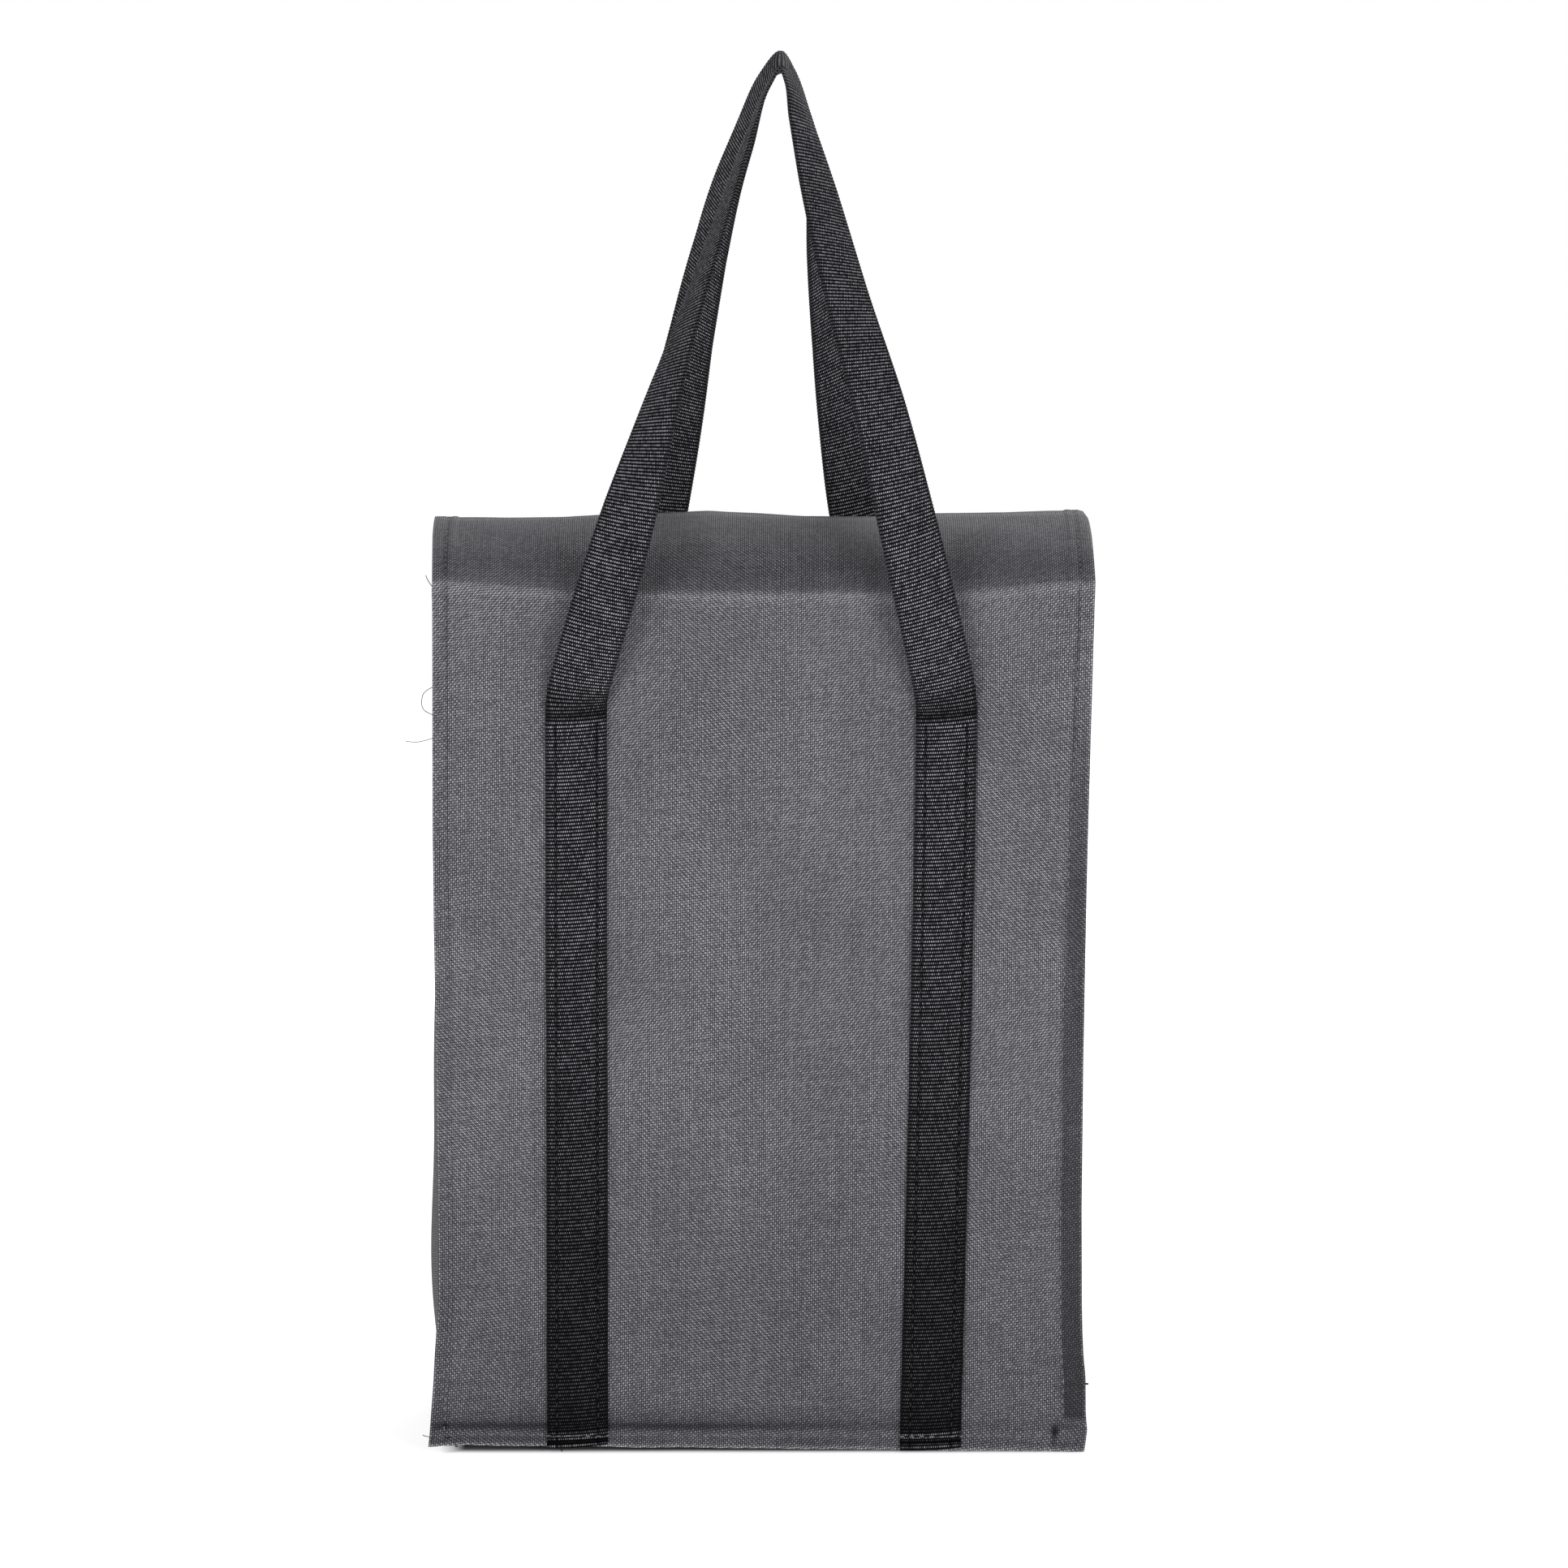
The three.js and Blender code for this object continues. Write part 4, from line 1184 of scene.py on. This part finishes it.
def stitchRow(name, stitch, points, normals, material, pitch=None, length=None, zigzag=0):
    # copies of the stitch along a line of points, face up along the normals
    points, normals = np.asarray(points, dtype=float), np.asarray(normals, dtype=float)
    run = np.concatenate(([0], np.cumsum(np.linalg.norm(np.diff(points, axis=0), axis=1))))
    pitch = pitch or thread["pitch"]
    length = length or thread["stitchLength"]
    count = max(2, int(run[-1] / pitch))
    middles = (np.arange(count) + 0.5) * run[-1] / count

    def at(values, where):
        return np.array([np.interp(where, run, values[:, axis]) for axis in range(3)])

    draw = np.random.default_rng(len(name) * 7 + count)
    copies = []
    for number, middle in enumerate(middles):
        later, sooner = min(middle + 0.3 * mm, run[-1]), max(middle - 0.3 * mm, 0)
        ahead = Vector(at(points, later) - at(points, sooner)).normalized()
        up = Vector(at(normals, middle)).normalized()
        if zigzag:
            ahead = Matrix.Rotation(math.radians(90 + zigzag * (-1) ** number), 3, up) @ ahead
        side = up.cross(ahead).normalized()
        up = ahead.cross(side)
        turn = Matrix((ahead, side, up)).transposed().to_4x4()
        jitter = draw.uniform(-0.12, 0.12, 2) * mm
        spot = Vector(at(points, middle)) + side * jitter[0] + ahead * jitter[1]
        copy = stitch.copy()
        copy.data = stitch.data.copy()
        size = Matrix.Diagonal((length * draw.uniform(0.93, 1.05), thread["wide"], thread["thick"], 1))
        copy.data.transform(Matrix.Translation(spot) @ turn @ size)
        bpy.context.collection.objects.link(copy)
        copies.append(copy)
    return joined(name, copies, material)


def joined(name, copies, material):
    deselectAll()
    for copy in copies:
        copy.select_set(True)
    bpy.context.view_layer.objects.active = copies[0]
    if len(copies) > 1:
        bpy.ops.object.join()
    row = bpy.context.object
    row.name = name
    finishPiece(row, material)
    return row


def onBack(x, z, lift):
    # a place on the outer face of the back panel or the lid, by distance along the cloth
    placeX, placeY, placeZ = lidPlace(x, z)
    normalY, normalZ = np.interp(z, lidStations, lidNormalY), np.interp(z, lidStations, lidNormalZ)
    normals = np.column_stack((0 * x, normalY, normalZ))
    return np.column_stack((placeX, placeY, placeZ)) + normals * lift, normals


def onFront(x, z, lift):
    y = halfDepth + wallRelief(frontWall, x, z)
    normals = np.tile((0.0, 1, 0), (len(x), 1))
    return np.column_stack((wallX(frontWall, x, z), y, z)) + normals * lift, normals


def onGusset(hand, y, z, lift):
    place, total = gussetPlaceFor(hand)
    placeX, placeY, placeZ = place(y * hand, z / gussetTop(y))
    normals = np.tile((float(hand), 0, 0), (len(y), 1))
    return np.column_stack((placeX, placeY, placeZ)) + normals * lift, normals


def sewRow(stem, body, line, stitch, material, nodeName=None, **size):
    # a row of stitches in place of the node of the same name
    row = stitchRow(stem + "_thread", stitch, *line, material, **size)
    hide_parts(nodeName or stem + "_stitches")
    if body == "fold":
        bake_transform(row)
    else:
        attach(row, body)


def addSideSeams(stitch, material):
    z = np.linspace(thread["endInset"], foldHeight - thread["endInset"], 120)
    for hand, word in sides:
        x = hand * seamOf(backWall, hand > 0, z)
        sewRow(f"back_{word}_seam", "fold", onBack(x, z, thread["lift"]), stitch, material)
        x = hand * seamOf(frontWall, hand > 0, z)
        sewRow(f"front_{word}_seam", "bag", onFront(x, z, thread["lift"]), stitch, material)


def addBottomSeams(stitch, material):
    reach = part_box("back_bottom_seam_stitches")[1].x
    x = np.linspace(-reach, reach, 240)
    z = np.full_like(x, bottomSeam)
    for band, place, word in ((backWebbing, onBack, "back"), (frontWebbing, onFront, "front")):
        points, normals = place(x, z, thread["lift"])
        # the row steps up over each strap that is caught in the seam
        over = 0
        for hand in (-1, 1):
            middle = strapX(band, hand, bottomSeam)
            over = over + smooth(webbingWidth / 2 + 1.2 * mm, webbingWidth / 2 + 0.2 * mm, np.abs(x - middle))
        points = points + normals * (over * (webbingThick + gap + 0.5 * mm))[:, None]
        sewRow(word + "_bottom_seam", "bag", (points, normals), stitch, material)
    for hand, word in sides:
        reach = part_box(word + "_bottom_seam_stitches")[1].y
        y = np.linspace(-reach, reach, 80)
        line = onGusset(hand, y, np.full_like(y, bottomSeam), thread["lift"])
        sewRow(word + "_bottom_seam", "bag", line, stitch, material)


def addHems(stitch, material):
    s = np.linspace(foldHeight + 6 * mm, lidLength - 3 * mm, 160)
    for hand, word in sides:
        line = onBack(hand * sideSeam + 0 * s, s, thread["lift"])
        sewRow(f"lid_{word}_hem", "fold", line, stitch, material)
        y = np.linspace(-gusset["hemReach"], gusset["hemReach"], 80)
        line = onGusset(hand, y, gussetTop(y) - gusset["hemStitch"], thread["lift"])
        sewRow(word + "_gusset_hem", "bag", line, stitch, material)
    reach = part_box("lid_front_hem_stitches")[1].x
    x = np.linspace(-reach, reach, 120)
    line = onBack(x, 0 * x + lidLength - lid["flapStitch"], thread["lift"])
    sewRow("lid_front_hem", "lid", line, stitch, material)
    line = onFront(x, 0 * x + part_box("front_panel_hem_stitches")[0].z, 0.1 * mm)
    sewRow("front_panel_hem", "bag", line, stitch, material)


def addStrapStitches(stitch, material):
    ringLow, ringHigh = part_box("back_left_strap_stitches")
    tackBoxLow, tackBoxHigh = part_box("back_left_tack")
    z = np.linspace(ringLow.z, ringHigh.z, 160)
    upAndDown = np.concatenate((z, z[::-1]))
    column = 0.67 * webbingWidth / 2
    offset = np.repeat((-column, column), len(z))
    across = np.linspace(-0.93, 0.93, 30) * webbingWidth / 2
    tackMiddle = (tackBoxLow.z + tackBoxHigh.z) / 2
    level = np.full(30, tackMiddle)
    for band, word in ((backWebbing, "back"), (frontWebbing, "front")):
        side = band["wall"]["side"]
        for hand, handWord in sides:
            x = strapX(band, hand, upAndDown) + offset
            y = side * (strapFace(band, hand, upAndDown) + webbingThick / 2 - 0.2 * mm)
            line = np.column_stack((x, y, upAndDown)), np.tile((0.0, side, 0), (len(x), 1))
            sewRow(f"{word}_{handWord}_strap", "bag", line, stitch, material)
            x = strapX(band, hand, tackMiddle) + across
            y = side * (strapFace(band, hand, level) + webbingThick / 2 + 0.45 * mm)
            line = np.column_stack((x, y, level)), np.tile((0.0, side, 0), (30, 1))
            sewRow(f"{word}_{handWord}_tack", "bag", line, stitch, material, f"{word}_{handWord}_tack",
                   pitch=thread["tackPitch"], length=thread["tackLength"], zigzag=thread["tackZigzag"])


# hook strip inside the flap and loop strip on the front panel

closure = {"corner": 2.0 * mm, "grain": 0.4 * mm, "fuzz": 0.12 * mm}


def makeStrip(name, nodeName, body, material):
    low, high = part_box(nodeName)
    piece = boxAround(name, low, high)
    roundEdges(piece, closure["corner"], 4, lambda a, b: abs(a.y - b.y) > 0.2 * mm)
    bpy.ops.object.mode_set(mode="EDIT")
    bpy.ops.mesh.select_all(action="SELECT")
    bpy.ops.mesh.quads_convert_to_tris()
    bpy.ops.object.mode_set(mode="OBJECT")
    grain = piece.modifiers.new("grain", "REMESH")
    grain.mode = "VOXEL"
    grain.voxel_size = closure["grain"]
    bpy.ops.object.modifier_apply(modifier="grain")
    points = readPoints(piece.data)
    normals = np.empty(len(points) * 3)
    piece.data.vertices.foreach_get("normal", normals)
    draw = np.random.default_rng(3)
    points += normals.reshape(-1, 3) * draw.uniform(-1, 0, len(points))[:, None] * closure["fuzz"]
    writePoints(piece.data, points)
    finishPiece(piece, material)
    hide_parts(nodeName)
    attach(piece, body)


def addClosure(stitch, closureMaterial, threadMaterial):
    makeStrip("loop_tape", "loop_strip", "bag", closureMaterial)
    makeStrip("hook_tape", "hook_strip", "lid", closureMaterial)
    for stem, nodeName, side, body in (
            ("loop_tape", "loop_strip_stitches", -1, "bag"),
            ("hook_tape", "hook_strip_stitches", 1, "lid")):
        low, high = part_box(nodeName)
        face = low.y + 0.2 * mm if side > 0 else high.y - 0.2 * mm
        ring = [(low.x, low.z), (high.x, low.z), (high.x, high.z), (low.x, high.z), (low.x, low.z)]
        line = [(x, face, z) for x, z in ring], np.tile((0.0, side, 0), (5, 1))
        sewRow(stem, body, line, stitch, threadMaterial, nodeName)


# short loose thread ends at the seams

looseEnds = [
    # name, radius, points in millimetres across, out from the back panel, up
    ("loose_end_fold", 0.16, [(-134.5, 0, 358), (-136.5, .6, 360), (-137.5, .8, 363)]),
    ("loose_end_loop", 0.16, [(-134.6, 0, 317), (-138.5, .5, 315.5), (-139.6, .8, 311), (-138.8, .6, 307),
                              (-134.8, 0, 305.5)]),
    ("loose_end_side", 0.14, [(-134.6, 0, 296), (-139, .4, 294.6), (-143, .8, 294.2), (-146, .8, 294.8)]),
    ("loose_end_foot", 0.16, [(-135.5, 2, 6), (-138.5, 2.2, 6.2), (-140, 2.2, 7.0)]),
    ("loose_end_strap", 0.3, [(-83.4, 3.4, 1.8), (-83.0, 3.8, 1.1), (-82.2, 4.2, .6)]),
    ("loose_end_corner", 0.4, [(132.9, 1.5, 28.4), (134.2, 1.7, 28.2), (135.0, 1.6, 28.3)]),
]


def addLooseEnds(material):
    for name, radius, points in looseEnds:
        curve = bpy.data.curves.new(name, "CURVE")
        curve.dimensions = "3D"
        curve.bevel_depth = radius * mm
        curve.bevel_resolution = 2
        curve.use_fill_caps = True
        spline = curve.splines.new("NURBS")
        spline.points.add(len(points) - 1)
        for point, (x, out, z) in zip(spline.points, points):
            point.co = (x * mm, -halfDepth - out * mm, z * mm, 1)
        spline.order_u = 3
        spline.use_endpoint_u = True
        piece = bpy.data.objects.new(name, curve)
        bpy.context.collection.objects.link(piece)
        deselectAll()
        piece.select_set(True)
        bpy.context.view_layer.objects.active = piece
        bpy.ops.object.convert(target="MESH")
        piece = bpy.context.object
        piece.name = name
        finishPiece(piece, material)
        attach(piece, "bag")


# build

setCamera()
setLights()
setFloor()
print("studio set")

canvas = canvasMaterial()
webbingCloth = webbingMaterial()
# name, dark, light, grains to a metre, roughness, depth of the bump
greyThread = twistedMaterial("greyThread", (0.03, 0.03, 0.035, 1), (0.22, 0.22, 0.24, 1),
                             2600, 0.5, 0.06 * mm)
blackThread = twistedMaterial("blackThread", (0.002, 0.002, 0.003, 1), (0.014, 0.014, 0.016, 1),
                              2600, 0.6, 0.06 * mm)
tape = twistedMaterial("closureTape", (0.006, 0.006, 0.007, 1), (0.04, 0.04, 0.043, 1),
                       1800, 0.75, 0.25 * mm)
boardStuff = twistedMaterial("boardStuff", (0.022, 0.022, 0.024, 1), (0.05, 0.05, 0.053, 1),
                             500, 0.7, 0.05 * mm)
print("materials made")

makeGusset("left_gusset", -1, canvas)
makeGusset("right_gusset", 1, canvas)
makeFloorCloth(canvas)
makeBoard(boardStuff)
makeBackAndLid(canvas)
makeFrontPanel(canvas)
print("cloth made")

makeWebbing(backWebbing, webbingCloth, ["back_left_strap", "back_right_strap", "back_handle"])
makeWebbing(frontWebbing, webbingCloth, ["front_left_strap", "front_right_strap", "front_handle"])
print("webbing made")

oneStitch = makeStitch()
addSideSeams(oneStitch, greyThread)
addBottomSeams(oneStitch, greyThread)
addHems(oneStitch, greyThread)
addStrapStitches(oneStitch, blackThread)
addClosure(oneStitch, tape, blackThread)
bpy.data.objects.remove(oneStitch)
addLooseEnds(blackThread)
print("thread made")
